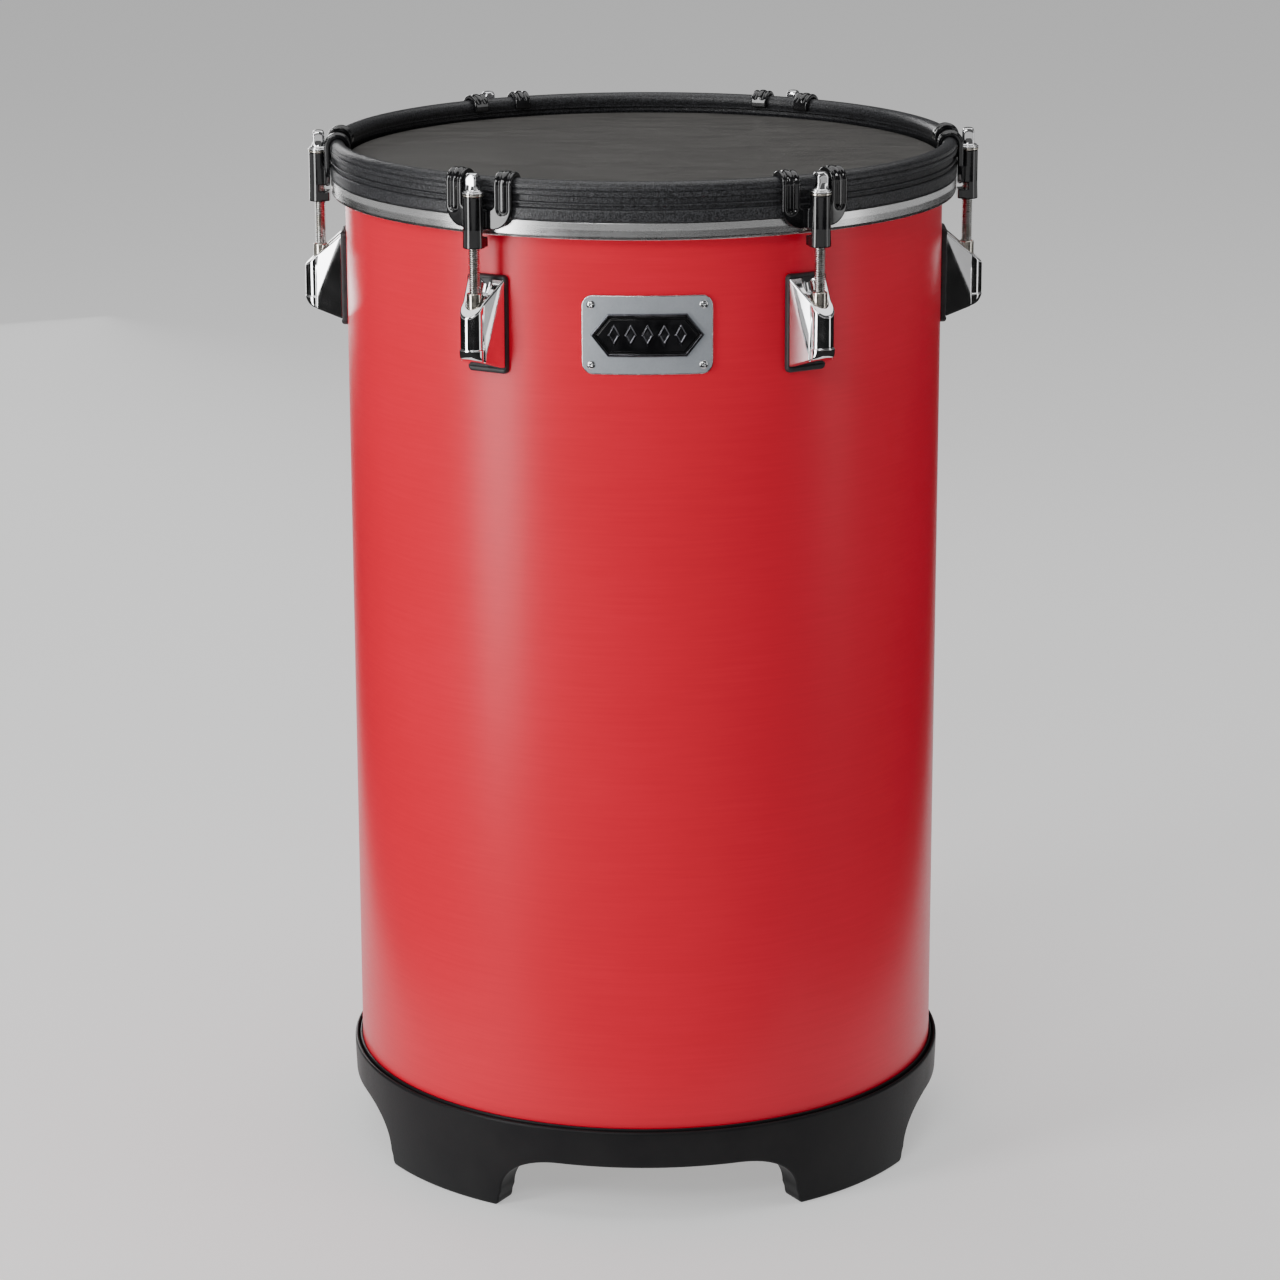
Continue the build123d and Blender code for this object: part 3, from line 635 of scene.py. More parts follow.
def outer_radius(z):
    """The base's outer face leans out a little and is very slightly bowed."""
    share = min(1.0, max(0.0, z / RIM_SHOULDER))
    return FOOT_R + (RIM_R - FOOT_R) * (share + 0.35 * share * (1 - share))


def base_column(point):
    """Points of the ring's section at one place on the arch outline, from the seat round to the inside."""
    t, z_low, share, nt, nz = point

    def at(radius, t_here, z):
        start = math.atan2(t_here, ARCH_PLANE)
        return (radius, start + (FOOT_MIDDLE - start) * share, z)

    rim = [(SHELL_R + out, BASE_TOP - down) for out, down in SEAT_LIP]
    for angle in np.radians(np.linspace(170, 0, 9)):
        rim.append((RIM_R - 1.0 + 1.0 * math.cos(angle), WALL_TOP + RIM_ROUND * math.sin(angle)))
    column = [at(radius, t, z) for radius, z in rim]
    wall_low = z_low - nz * EDGE_ROUND
    t_low = t - nt * EDGE_ROUND
    for part in np.linspace(0, 1, 7)[1:]:
        z = WALL_TOP + (wall_low - WALL_TOP) * part
        column.append(at(outer_radius(z), t + (t_low - t) * part, z))
    outer = outer_radius(z_low) - EDGE_ROUND
    inner = FOOT_INNER_R + EDGE_ROUND
    for angle in np.radians([22.5, 45, 67.5, 90]):
        back = EDGE_ROUND * (1 - math.sin(angle))
        column.append(at(outer + EDGE_ROUND * math.cos(angle), t - nt * back, z_low - nz * back))
    column += [at(outer + (inner - outer) * part, t, z_low) for part in np.linspace(0, 1, 4)[1:]]
    for angle in np.radians([67.5, 45, 22.5, 0]):
        back = EDGE_ROUND * (1 - math.sin(angle))
        column.append(at(inner - EDGE_ROUND * math.cos(angle), t - nt * back, z_low - nz * back))
    for part in np.linspace(0, 1, 5)[1:]:
        z = wall_low + (BASE_TOP - 0.6 - wall_low) * part
        column.append(at(FOOT_INNER_R, t_low + (t - t_low) * part, z))
    inner_top = TUBE_R - TUBE_WALL - 0.1
    seat = TUBE_BOTTOM - 0.05
    top = [(FOOT_INNER_R + 0.5, BASE_TOP), (inner_top - 0.4, BASE_TOP), (inner_top, BASE_TOP - 0.4)]
    column += [at(radius, t, z) for radius, z in top + [(inner_top, seat), (SHELL_R + 0.08, seat)]]
    return column


def make_base():
    half = [base_column(point) for point in arch_outline()]
    mirrored = [[(r, math.pi / 2 - a, z) for r, a, z in column] for column in half[-2::-1]]
    quarter = (half + mirrored)[:-1]
    columns = [[(r, a + turn, z) for r, a, z in column] for turn in QUARTER_TURNS for column in quarter]
    r, a, z = np.moveaxis(np.array(columns), -1, 0)
    xyz = np.stack([r * np.cos(a), r * np.sin(a), z], -1)
    along, down = (np.roll(xyz, -1, axis) - np.roll(xyz, 1, axis) for axis in (0, 1))
    normals = np.cross(down, along)
    normals /= np.maximum(np.linalg.norm(normals, axis=2), 1e-9)[..., None]
    quads = closed_quads(*r.shape)[:, [0, 3, 2, 1]]
    base = new_object("foot_ring_moulding", xyz.reshape(-1, 3), quads, PLASTIC, normals.reshape(-1, 3))
    settle(base, "shell", "base_plastic", "foot_ring")


# ---- head and hoops
FILM_T = 0.35
COLLAR_R = 155.5
ROLL_R = 155.45
ROLL_ROUND = 3.75
ROLL_Z = HOOP_TOP - ROLL_ROUND


def make_head():
    edge_r = TUBE_R - 2.5
    film = rounded_profile([
        (0.01, FILM_TOP - FILM_T, 0.001),
        (edge_r + 1.6, FILM_TOP - FILM_T, 1.9),
        (COLLAR_R - FILM_T, FILM_TOP - 9.4, 1.5),
        (COLLAR_R - FILM_T, FILM_BOTTOM, 0.02),
        (COLLAR_R, FILM_BOTTOM, 0.02),
        (COLLAR_R, FILM_TOP - 9.2, 1.5),
        (edge_r + 1.8, FILM_TOP, 2.3),
        (0.01, FILM_TOP, 0.001),
    ], 12)
    film = lathe("drumhead_skin", subdivided(*film, 2.0), FILM)
    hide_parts("drumhead_film")
    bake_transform(film)

    wall = 0.8
    inner, outer = 153.4, FLESH_R
    low, high = FLESH_BOTTOM, FLESH_TOP
    flesh = rounded_profile([
        (inner, low, 0.5),
        (outer - 0.75, low, 0.6),
        (outer - 0.1, low + 1.4, 1.6),
        (outer, low + 5.0, 9.0),
        (outer - 0.25, high, 0.25),
        (outer - wall, high, 0.3),
        (outer - wall, low + wall, 0.2),
        (inner + wall, low + wall, 0.2),
        (inner + wall, high - 1.6, 0.3),
        (inner, high - 1.6, 0.3),
    ], 15)
    settle(lathe("flesh_hoop_channel", flesh, ALUMINIUM), "head", "hoop_aluminium", "flesh_hoop")

    low = HOOP_BOTTOM
    corners = [
        (156.6, low, 0.3),
        (HOOP_R, low, 1.3),
        (HOOP_R, low + 6.2, 1.2),
        (157.5, low + 6.3, 0.4),
        (157.5, low + 8.0, 0.3),
        (HOOP_R - 0.35, low + 8.1, 0.35),
        (HOOP_R - 0.35, low + 9.0, 0.35),
        (157.5, low + 9.2, 0.3),
        (157.5, low + 12.3, 0.4),
        (HOOP_R, low + 12.4, 0.5),
        (HOOP_R, low + 14.45, 0.4),
        (HOOP_R - 0.55, low + 14.75, 0.15),
        (HOOP_R - 0.5, low + 15.1, 0.15),
        (HOOP_R, low + 15.5, 0.2),
    ]
    reach = ROLL_ROUND / math.cos(math.radians(7.5))
    for angle in np.radians(range(15, 210, 15)):
        corners.append((ROLL_R + reach * math.cos(angle), ROLL_Z + reach * math.sin(angle), 3.7))
    corners += [
        (152.55, low + 13.1, 0.4),
        (152.7, low + 12.0, 0.35),
        (154.6, low + 11.9, 0.5),
        (154.6, low + 9.8, 0.5),
        (156.6, low + 6.3, 0.8),
    ]
    hoop = lathe("counterhoop_formed", rounded_profile(corners, 15), POWDER)
    settle(hoop, "head", "textured_black", "counterhoop")


# ---- claws
SHEET_MID = 5.2
SHEET_HALF = 1.25
FINGER_MID = 13.55
FINGER_HALF = 4.65
PLATE_HALF = 18.2
PLATE_CORNER = 10.5
PLATE_BOTTOM = CLAW_LOW[2] + 8.7
NOTCH_BOTTOM = 514.6
ABOVE_CLAW = 560.0
RIB_FOOT = 514.9
RIB_HALF = 2.15
GROOVE = 0.70
TAB_DROP = 1.2
BOSS_R = 5.1
FLARE_TOP = 505.0
WEB_Z, WINDOW_Z, HEEL_Z = 508.95, 502.9, 498.75


def claw_field(x, y, z):
    """Die-cast claw: two ribbed hook fingers on a plate, with a boss for the rod."""
    r = np.hypot(x, y)
    s = (ROLL_R + SHEET_MID) * np.arctan2(y, x)
    dr, dz = r - ROLL_R, z - ROLL_Z
    over = np.hypot(dr, dz) - SHEET_MID
    plate = dr - SHEET_MID
    tab = -dr - SHEET_MID
    tip = np.hypot(dr + SHEET_MID, dz + TAB_DROP)
    offset = np.where(dz > 0, over, np.where(dr > 0, plate, tab))
    u = np.abs(s) - FINGER_MID
    to_side = np.abs(np.abs(u) - RIB_HALF)
    groove = np.where((z > RIB_FOOT) | (dr < 0), to_side, np.abs(np.hypot(u, z - RIB_FOOT) - RIB_HALF))
    cut = GROOVE * np.exp(-(groove / GROOVE) ** 2)
    crown = 0.35 * np.exp(-(u / 1.3) ** 4) * (z > RIB_FOOT - RIB_HALF)
    face = np.where(dr < 0, rise(dz, 1.6, 4.0), 1.0)
    outer = offset - SHEET_HALF + (cut - crown) * face
    sheet = smooth_max(outer, -offset - SHEET_HALF, 0.7)
    sheet = np.where((dr < 0) & (dz <= -TAB_DROP), tip - SHEET_HALF, sheet)
    middle = (PLATE_BOTTOM + ABOVE_CLAW) / 2
    outline = rounded_rectangle(s, z - middle, PLATE_HALF, middle - PLATE_BOTTOM, PLATE_CORNER)
    middle = (NOTCH_BOTTOM + ABOVE_CLAW) / 2
    notch = rounded_rectangle(s, z - middle, FINGER_MID - FINGER_HALF, middle - NOTCH_BOTTOM, 2.2)
    outline = np.maximum(outline, -notch)
    plate = smooth_max(sheet, outline, 0.9)
    radial = np.hypot(x - ROD_AXIS_R, y)
    flare = 0.25 * np.clip((FLARE_TOP - z) / 9, 0, 1)
    boss = capped_cylinder(radial, z, BOSS_R + flare, CLAW_LOW[2], WASHER_BOTTOM, 0.45)
    web = rounded_box(x - 163.0, y, z - WEB_Z, (2.9, 4.6, 4.45), 0.6)
    heel = rounded_box(x - 163.2, y, z - HEEL_Z, (3.2, 4.9, 2.45), 0.6)
    body = smooth_min(plate, web, 0.8)
    body = smooth_min(body, smooth_min(boss, heel, 0.5), 0.8)
    window = rounded_box(x - (ROD_AXIS_R - 5.0), y, z - WINDOW_Z, (5.0, 9.0, 1.55), 0.3)
    body = smooth_max(body, -window, 0.3)
    return smooth_max(body, -(radial - 3.0), 0.3)


def make_claws():
    high = (ROD_AXIS_R + BOSS_R + 0.6, PLATE_HALF + 0.6, CLAW_HIGH[2] + 0.6)
    low = (CLAW_LOW[0] - 1.2, -PLATE_HALF - 0.6, CLAW_LOW[2])
    master = solid("claw_master", claw_field, low, high, 0.38, ENAMEL)
    settle_each(at_each_lug(master, "claw_cast"), "head", "gloss_black", "claw")


# ---- tension rods
THREAD_PITCH = 1.0583
THREAD_R = 5.49 / 2
THREAD_ROOT_R = 4.25 / 2
THREAD_TOP = 512.0
KEY_HALF = 5.87 / 2
TAPER = 2.4
CROWN_R = 5.0
FLANGE_R = 5.4
FLANGE_TOP = 523.0


def key_head_field(x, y, z):
    """Square key head with a rounded crown on a flared neck and a flange."""
    dx, dy = x - ROD_AXIS_R, y
    radial = np.hypot(dx, dy)
    middle = (FLANGE_TOP + ROD_HIGH[2]) / 2
    square = rounded_box(dx, dy, z - middle, (KEY_HALF, KEY_HALF, middle - FLANGE_TOP), 0.85)
    taper = np.clip((z - ROD_HIGH[2] + TAPER) / TAPER, 0, 1)
    square = smooth_max(square, radial - (KEY_HALF + 1.0 - 1.1 * taper ** 2), 0.5)
    crown = np.sqrt(radial ** 2 + (z - ROD_HIGH[2] + CROWN_R) ** 2) - CROWN_R
    square = smooth_max(square, crown, 1.2)
    flange = capped_cylinder(radial, z, FLANGE_R, WASHER_TOP + 0.02, FLANGE_TOP, 0.35)
    step = capped_cylinder(radial, z, FLANGE_R - 0.75, FLANGE_TOP - 0.5, FLANGE_TOP + 0.75, 0.3)
    neck = smooth_max(radial - 4.1 + 0.40 * (z - FLANGE_TOP), -(z - FLANGE_TOP + 0.5), 0.2)
    neck = smooth_max(neck, z - FLANGE_TOP - 3.2, 0.3)
    head = smooth_min(square, neck, 0.9)
    head = smooth_min(head, step, 0.5)
    head = smooth_min(head, flange, 0.2)
    shank = np.maximum(radial - THREAD_R + 0.03, np.maximum(z - FLANGE_TOP, THREAD_TOP - 0.4 - z))
    return smooth_min(head, shank, 0.15)


def thread_mesh(name, material):
    """Right-hand thread as one helical strip closed at both ends."""
    columns = 24
    root, crest = THREAD_ROOT_R, THREAD_R
    profile = [(0.0, root), (0.10, root), (0.45, crest), (0.60, crest), (0.97, root)]
    per_turn = len(profile)
    bottom, top = ROD_LOW[2], THREAD_TOP
    rows = (int((top - bottom) / THREAD_PITCH) + 2) * per_turn
    angles = np.arange(columns) * 2 * math.pi / columns
    points = []
    for row in range(rows):
        turn, place = divmod(row, per_turn)
        share, radius = profile[place]
        z = bottom - THREAD_PITCH + (turn + share + angles / (2 * math.pi)) * THREAD_PITCH
        chamfer = np.clip(crest - 0.8 + (z - bottom), 1.5, crest)
        reach = np.minimum(radius, chamfer)
        points += zip(ROD_AXIS_R + reach * np.cos(angles), reach * np.sin(angles), np.clip(z, bottom, top))
    faces = []
    for row in range(rows - 1):
        for column in range(columns):
            here = row * columns + column
            following = here + 1 if column + 1 < columns else (row + per_turn) * columns
            if following + columns < rows * columns:
                faces.append((here, following, following + columns, here + columns))
    mesh = bpy.data.meshes.new(name)
    mesh.from_pydata((np.array(points) * MM).tolist(), [], faces)
    work = bmesh.new()
    work.from_mesh(mesh)
    bmesh.ops.remove_doubles(work, verts=work.verts, dist=1e-7)
    bmesh.ops.dissolve_degenerate(work, edges=work.edges, dist=1e-8)
    bmesh.ops.holes_fill(work, edges=[edge for edge in work.edges if edge.is_boundary], sides=0)
    bmesh.ops.recalc_face_normals(work, faces=work.faces)
    work.to_mesh(mesh)
    work.free()
    mesh.shade_smooth()
    mesh.set_sharp_from_angle(angle=math.radians(35))
    mesh.materials.append(material)
    return linked(name, mesh)


def make_rods():
    reach = FLANGE_R + 0.3
    low = (ROD_AXIS_R - reach, -reach, THREAD_TOP - 0.6)
    high = (ROD_AXIS_R + reach, reach, ROD_HIGH[2] + 0.2)
    head = solid("rod_head_master", key_head_field, low, high, 0.24, CHROME)
    heads = at_each_lug(head, "tension_rod_turned")
    threads = at_each_lug(thread_mesh("rod_thread_master", THREAD), "tension_rod_thread")
    rods = [joined(parts, parts[0].name) for parts in zip(heads, threads)]
    settle_each(rods, "rod_", "chrome", "tension_rod")


# ---- lug casings and gaskets
BARREL_R = 5.75
BARREL_AXIS_R = CASING_HIGH[0] - 5.9
TAPER_TOP = 470.0
NUT_R = 3.8
PAD_TOP = 447.6
CHIN_TOP = 445.2
WELL_BOTTOM = 453.6
SCOOP_START = 462.0
SCOOP_RUN = np.array([-7.4, 21.0])


def casing_planes():
    """Back, slanted top, sloped underside and faceted sides of a casing."""
    (back, half, low), (front, _, high) = CASING_LOW * (1, -1, 1), CASING_HIGH
    faces = [
        [(back, -1, low), (back, 1, low), (back, 0, high)],
        [(back, -1, high), (back, 1, high), (front, 0, 463.4)],
        [(back, -1, low), (back, 1, low), (171.7, 0, 442.5)],
    ]
    for sign in (-1, 1):
        foot = (168.3, sign * 6.95, CHIN_TOP)
        faces.append([(back, sign * half, low), (back, sign * half, high), foot])
        faces.append([(back, sign * half, high), foot, (167.4, sign * 5.45, 469.0)])
    return [plane_through(face, (160.0, 0.0, 457.0)) for face in faces]


CASING_PLANES = casing_planes()


def casing_field(x, y, z):
    """Chromed casing: faceted wedge running into a half-round barrel, open at the top round the nut."""
    back, slant, slope, *sides = (plane(x, y, z) for plane in CASING_PLANES)
    radial = np.hypot(x - BARREL_AXIS_R, y)
    barrel = radial - BARREL_R - 0.10 * np.clip((TAPER_TOP - z) / 22, 0, 1)
    pad = smooth_max(barrel - 0.5, z - PAD_TOP, 0.6)
    wedge = x - BARREL_AXIS_R
    for side in sides:
        wedge = smooth_max(wedge, side, 0.45)
    body = smooth_min(wedge, smooth_min(barrel, pad, 0.3), 0.5)
    chin = (x - CASING_HIGH[0]) * 0.78 - (z - CHIN_TOP) * 0.62
    body = smooth_max(body, chin, 2.4)
    for flat, edge in ((back, 0.15), (slant, 0.75), (slope, 1.3)):
        body = smooth_max(body, flat, edge)
    dx, dz = x - ROD_AXIS_R, z - SCOOP_START
    well = smooth_max(np.hypot(dx, y) - (NUT_R + 0.45), WELL_BOTTOM - z, 0.2)
    run = SCOOP_RUN / np.linalg.norm(SCOOP_RUN)
    along = dx * run[0] + dz * run[1]
    across = dx * run[1] - dz * run[0]
    scoop = np.hypot(across, y) - (NUT_R + 0.55 + 0.035 * np.clip(along, 0, 30))
    scoop = smooth_max(scoop, -along - 1.0, 0.4)
    mouth = smooth_min(well, scoop, 0.3)
    return smooth_max(body, -mouth, 0.55)


def gasket_field(x, y, z):
    """Rubber pad under the casing, curved to the shell, with a raised lip round the casing."""
    centre = (GASKET_LOW + GASKET_HIGH) / 2
    half = (GASKET_HIGH - GASKET_LOW) / 2
    outline = rounded_rectangle(y, z - centre[2], half[1], half[2], 2.4)
    bevel = 0.9 * np.clip(1 + outline / 1.5, 0, 1) ** 2
    centre = (CASING_LOW + CASING_HIGH) / 2
    half = (CASING_HIGH - CASING_LOW) / 2 + 0.12
    seat = rounded_rectangle(y, z - centre[2], half[1], half[2], 0.8)
    lip = 0.55 * np.clip(seat / 0.12, 0, 1) * np.clip(1 - (outline + 0.2) / 0.3, 0, 1)
    body = smooth_max(x - GASKET_HIGH[0] - lip + bevel, outline, 0.5)
    return smooth_max(body, SHELL_R + 0.02 - np.hypot(x, y), 0.1)


def make_lugs():
    low, high = CASING_LOW - 0.2, CASING_HIGH + (0.6, 0.2, 0.2)
    casing = solid("casing_master", casing_field, low, high, 0.36, CHROME)
    settle_each(at_each_lug(casing, "lug_casing_cast"), "shell", "chrome", "lug_casing")
    low, high = GASKET_LOW - 0.3, GASKET_HIGH + (0.8, 0.3, 0.3)
    gasket = solid("gasket_master", gasket_field, low, high, 0.34, RUBBER)
    settle_each(at_each_lug(gasket, "lug_gasket_pad"), "shell", "gasket_rubber", "lug_gasket")


# ---- badge
BADGE_BACK_R = SHELL_R + 0.02
BADGE_Z = (BADGE_LOW[2] + BADGE_HIGH[2]) / 2
BADGE_HALF_W = 63.1 / 2
BADGE_HALF_H = (BADGE_HIGH[2] - BADGE_LOW[2]) / 2
BADGE_CORNER = 5.5
BADGE_T = 1.0
BADGE_SCREWS = [(u, v) for v in (-14.65, 14.65) for u in (-27.2, 27.2)]
SCREW_R = 2.35
CROSS_HALF_W = 0.26
CROSS_R = 1.35
EMBLEM_HALF_W = 27.5
EMBLEM_HALF_H = 10.5
EMBLEM_TIP = 8.5
LOZENGE_PITCH = 8.0
LOZENGE_HALF_W = 3.0
LOZENGE_HALF_H = 5.5


def side_out_up(angle):
    """Directions along the badge, out of the drum and up, at an angle or angles about the axis."""
    zero, one = np.zeros_like(angle), np.ones_like(angle)
    side = np.stack([-np.sin(angle), np.cos(angle), zero], -1)
    out = np.stack([np.cos(angle), np.sin(angle), zero], -1)
    return side, out, np.stack([zero, zero, one], -1)


def on_badge(name, field, low, high, step, relax, radius, material):
    """Solid bent round the drum at a radius, from a field of (along the badge, height over its back, up).

    Also gives how far along and how far up the badge the middle of each face lies.
    """
    points, quads, normals = polygonize(field, low, high, step, relax)
    quads = quads[:, ::-1]
    side, out, up = side_out_up(points[:, 0] / radius - math.pi / 2)
    bent = (radius + points[:, 1:2]) * out + (BADGE_Z + points[:, 2:]) * up
    normals = normals[:, :1] * side + normals[:, 1:2] * out + normals[:, 2:] * up
    middle = points[quads].mean(1)
    return new_object(name, bent, quads, material, normals), middle[:, 0], middle[:, 2]


def hexagon_depth(u, v):
    """Depth inside the emblem's outline, positive inside."""
    lean = math.hypot(EMBLEM_HALF_H, EMBLEM_TIP)
    side = (EMBLEM_HALF_H * (EMBLEM_HALF_W - np.abs(u)) - EMBLEM_TIP * np.abs(v)) / lean
    return np.minimum(side, EMBLEM_HALF_H - np.abs(v))


def lozenge_depth(u, v):
    """Depth inside the nearest lozenge of the row, positive inside."""
    offset = u - LOZENGE_PITCH * np.clip(np.round(u / LOZENGE_PITCH), -2, 2)
    lean = math.hypot(LOZENGE_HALF_W, LOZENGE_HALF_H)
    inside = LOZENGE_HALF_W * LOZENGE_HALF_H - LOZENGE_HALF_H * np.abs(offset) - LOZENGE_HALF_W * np.abs(v)
    return inside / lean


def emblem_field(u, h, v):
    """Hexagonal frame round a sunk panel that carries five raised lozenges."""
    depth = hexagon_depth(u, v)
    frame_top = 0.35 + 0.85 * rise(depth, 0.0, 0.55) - 1.0 * rise(depth, 1.35, 1.8)
    panel = 0.55 * rise(depth, 2.5, 3.0)
    gem = lozenge_depth(u, v)
    stones = 0.42 * rise(gem, 0.0, 0.45) - 0.22 * rise(gem, 0.85, 1.15)
    return np.maximum(np.maximum(h - frame_top - panel - stones, -h), -depth) * 0.7


def plate_field(u, h, v):
    """Plate with rounded corners and edges."""
    outline = rounded_rectangle(u, v, BADGE_HALF_W, BADGE_HALF_H, BADGE_CORNER)
    return smooth_max(np.abs(h - BADGE_T / 2) - BADGE_T / 2, outline, 0.55)


def badge_screw_field(u, h, v):
    """Domed head with a cross recess, on a plain shank."""
    radial = np.hypot(u, v)
    dome = np.sqrt(radial ** 2 + (h - BADGE_T + 2.1) ** 2) - 3.05
    head = smooth_max(smooth_max(dome, radial - SCREW_R, 0.25), BADGE_T + 0.03 - h, 0.1)
    depth = h - BADGE_T - 0.22 - 0.5 * radial
    arm = np.minimum(np.abs(u), np.abs(v)) - CROSS_HALF_W
    cross = smooth_max(smooth_max(arm, radial - CROSS_R, 0.15), -depth, 0.15)
    shank = np.maximum(radial - 1.2, np.maximum(h - BADGE_T - 0.3, -6.0 - h))
    return smooth_min(smooth_max(head, -cross, 0.15), shank, 0.1)


def pick_faces(piece, chosen, material):
    """Give the chosen faces of a piece a second material."""
    piece.data.materials.append(material)
    piece.data.polygons.foreach_set("material_index", chosen.astype(np.int32))


def make_badge():
    reach = np.array([BADGE_HALF_W, BADGE_T, BADGE_HALF_H]) + 0.3
    plate, u, v = on_badge("badge_plate_stamped", plate_field, reach * (-1, 0, -1) - (0, 0.3, 0), reach,
                           (0.7, 0.22, 0.7), 2, BADGE_BACK_R, BADGE)
    edge = rounded_rectangle(u, v, BADGE_HALF_W, BADGE_HALF_H, BADGE_CORNER)
    pick_faces(plate, edge > -0.5, BADGE_EDGE)
    settle(plate, "shell", "badge_metal", "badge_plate")

    reach = np.array([EMBLEM_HALF_W + 0.2, 1.3, EMBLEM_HALF_H + 0.2])
    emblem, u, v = on_badge("badge_emblem_cast", emblem_field, reach * (-1, 0, -1) - (0, 0.1, 0), reach,
                            (0.28, 0.16, 0.28), 1, BADGE_BACK_R + BADGE_T + 0.02, SMOKE)
    pick_faces(emblem, (hexagon_depth(u, v) > 1.65) & (lozenge_depth(u, v) < 0.05), ENAMEL)
    settle(emblem, "shell", "dark_chrome", "badge_emblem")

    points, quads, normals = polygonize(badge_screw_field, (-2.5, -6.1, -2.5), (2.5, 2.1, 2.5), 0.15)
    screws = []
    for number, (u, v) in enumerate(BADGE_SCREWS, 1):
        side, out, up = side_out_up(u / (BADGE_BACK_R + BADGE_T) - math.pi / 2)
        turn = math.radians(20 + 37 * number)
        cos, sin = math.cos(turn), math.sin(turn)
        basis = np.stack([cos * side + sin * up, out, cos * up - sin * side])
        seat = BADGE_BACK_R * out + (BADGE_Z + v) * up
        name = f"badge_screw_{number}"
        screws.append(new_object(name, points @ basis + seat, quads[:, ::-1], ZINC, normals @ basis))
    settle(joined(screws, "badge_screws_domed"), "shell", "zinc_screws", "badge_screws")


# ---- small turned parts
def turned(name, corners, material, segments=56):
    """Ring about the rod axis at azimuth 0."""
    piece = lathe(name, rounded_profile(corners, 22.5), material, segments)
    return moved(piece, Matrix.Translation((ROD_AXIS_R * MM, 0, 0)))


def make_small_parts():
    low, high = box_mm("swivel_nut_2")
    bore = THREAD_R + 0.08
    head_r = (high[0] - low[0]) / 2
    nut = turned("nut_master", [
        (bore, low[2], 0.2),
        (head_r, low[2], 0.4),
        (head_r, low[2] + 4.6, 0.4),
        (NUT_R, low[2] + 4.6, 0.2),
        (NUT_R, high[2], 0.55),
        (bore + 0.45, high[2], 0.15),
        (bore, high[2] - 0.5, 0.15),
    ], NICKEL)
    settle_each(at_each_lug(nut, "swivel_nut_turned"), "shell", "nickel", "swivel_nut")
    washer = turned("washer_master", [
        (THREAD_R + 0.1, WASHER_BOTTOM, 0.1),
        (5.3, WASHER_BOTTOM, 0.25),
        (5.3, WASHER_TOP, 0.25),
        (THREAD_R + 0.1, WASHER_TOP, 0.1),
    ], NICKEL)
    washers = joined(at_each_lug(washer, "rod_washer"), "rod_washers_turned")
    settle(washers, "head", "nickel", "rod_washers")
    (_, _, low), (_, _, high) = box_mm("nut_bushes")
    corners = [(3.4, low, 0.2), (4.55, low, 0.3), (4.55, high, 0.3), (3.4, high, 0.2)]
    bush = turned("bush_master", corners, NYLON)
    bushes = joined(at_each_lug(bush, "nut_bush"), "nut_bushes_moulded")
    settle(bushes, "shell", "nylon", "nut_bushes")


make_shell()
make_base()
make_head()
make_claws()
make_rods()
make_lugs()
make_badge()
make_small_parts()


# ---- CAD pieces that keep their shape
def dress(prefix, material):
    """Give CAD nodes their material."""
    for name, node in frame["nodes"].items():
        if name.startswith(prefix):
            node.data.materials.clear()
            node.data.materials.append(material)
            node.data.shade_smooth()
            node.data.set_sharp_from_angle(angle=math.radians(28))


dress("hoop_resin", RESIN)
for screwed in ("lug_screws", "screw_washers", "base_screws"):
    dress(screwed, ZINC)


# ---- stage, light and camera
def level_sheet(name, outline, height, surface):
    """Flat stage piece from its corners in metres."""
    mesh = bpy.data.meshes.new(name)
    mesh.from_pydata([(x, y, height) for x, y in outline], [], [tuple(range(len(outline)))])
    mesh.materials.append(surface.material)
    sheet = linked(name, mesh)
    return sheet


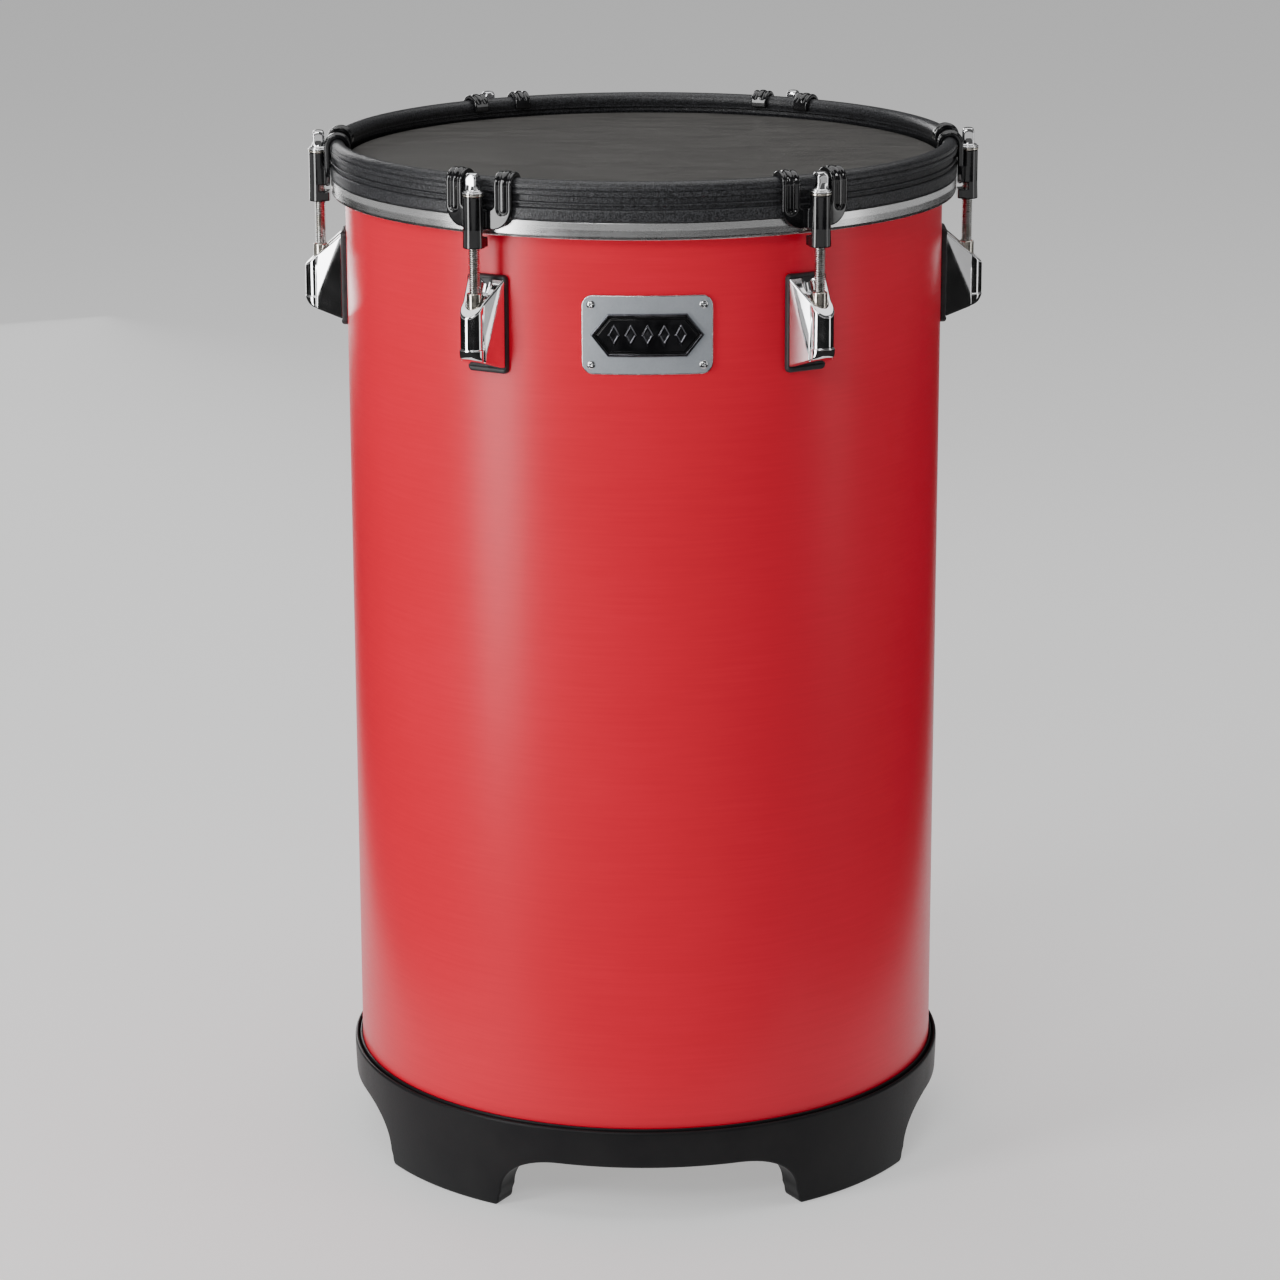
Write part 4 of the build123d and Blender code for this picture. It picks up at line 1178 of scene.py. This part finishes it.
def make_floor():
    """Plain pale floor, and a black studio flag that only reflections see."""
    pale = Surface("pale_floor", (0.60, 0.60, 0.60), 0.9, Specular_IOR_Level=0.0, Emission_Strength=0.46)
    pale.shader.inputs["Emission Color"].default_value = (1, 1, 1, 1)
    pale.color(pale.ramp(pale.noise(0.8), [(0.3, (0.595, 0.595, 0.595)), (0.7, (0.605, 0.605, 0.605))]))
    level_sheet("floor", [(-30, -30), (30, -30), (30, 30), (-30, 30)], 0.0, pale)
    black = Surface("flag_black", (0.03, 0.03, 0.03), 0.9, Specular_IOR_Level=0.0)
    horseshoe = [(-3, -3), (3, -3), (3, 3), (0.9, 3), (0.45, 0.7), (0.34, -0.30)]
    horseshoe += [(-x, y) for x, y in reversed(horseshoe[2:])]
    flag = level_sheet("studio_flag", horseshoe, 0.001, black)
    flag.visible_camera = False
    flag.visible_diffuse = False
    flag.visible_shadow = False
    flag.visible_transmission = False


def area_light(name, place, target, size, watts, spread=180):
    data = bpy.data.lights.new(name, "AREA")
    data.shape = "RECTANGLE"
    data.size, data.size_y = size
    data.energy = watts
    data.spread = math.radians(spread)
    lamp = linked(name, data)
    lamp.location = place
    lamp.visible_camera = False
    lamp.rotation_euler = (Vector(target) - Vector(place)).to_track_quat("-Z", "Y").to_euler()


def make_light():
    """Soft studio light: a dim room and soft boxes."""
    world = bpy.data.worlds.new("studio")
    bpy.context.scene.world = world
    world.use_nodes = True
    background = world.node_tree.nodes["Background"].inputs
    background["Color"].default_value = (1, 1, 1, 1)
    background["Strength"].default_value = 0.10
    middle = (0, 0, 0.28)
    area_light("key_strip", (-1.02, -0.73, 0.70), (0, 0, 0.70), (0.36, 1.4), 14.5)
    area_light("left_box", (-0.85, 2.1, 0.60), middle, (0.7, 1.2), 4.0, 90)
    area_light("front_box", (-0.9, -2.9, 2.3), middle, (1.4, 0.7), 32)
    area_light("right_box", (1.7, -0.5, 0.80), (0, 0, 0.80), (0.4, 1.6), 3.0)
    area_light("top_box", (0.0, 0.4, 2.6), middle, (3.6, 2.6), 52)


def make_camera():
    """Camera at the photograph's angle, with the drum turned a little to it."""
    data = bpy.data.cameras.new("camera")
    data.lens = 116.32
    data.sensor_width = 36.0
    turn, yaw, pitch, roll = (math.radians(angle) for angle in (-0.60, 0.069, 74.74, -0.153))
    camera = linked("camera", data)
    camera.matrix_world = (
        Matrix.Rotation(turn, 4, "Z")
        @ Matrix.Translation((0, -2.0962, 0.8346))
        @ Matrix.Rotation(yaw, 4, "Z")
        @ Matrix.Rotation(pitch, 4, "X")
        @ Matrix.Rotation(roll, 4, "Z")
    )
    bpy.context.scene.camera = camera


make_floor()
make_light()
make_camera()
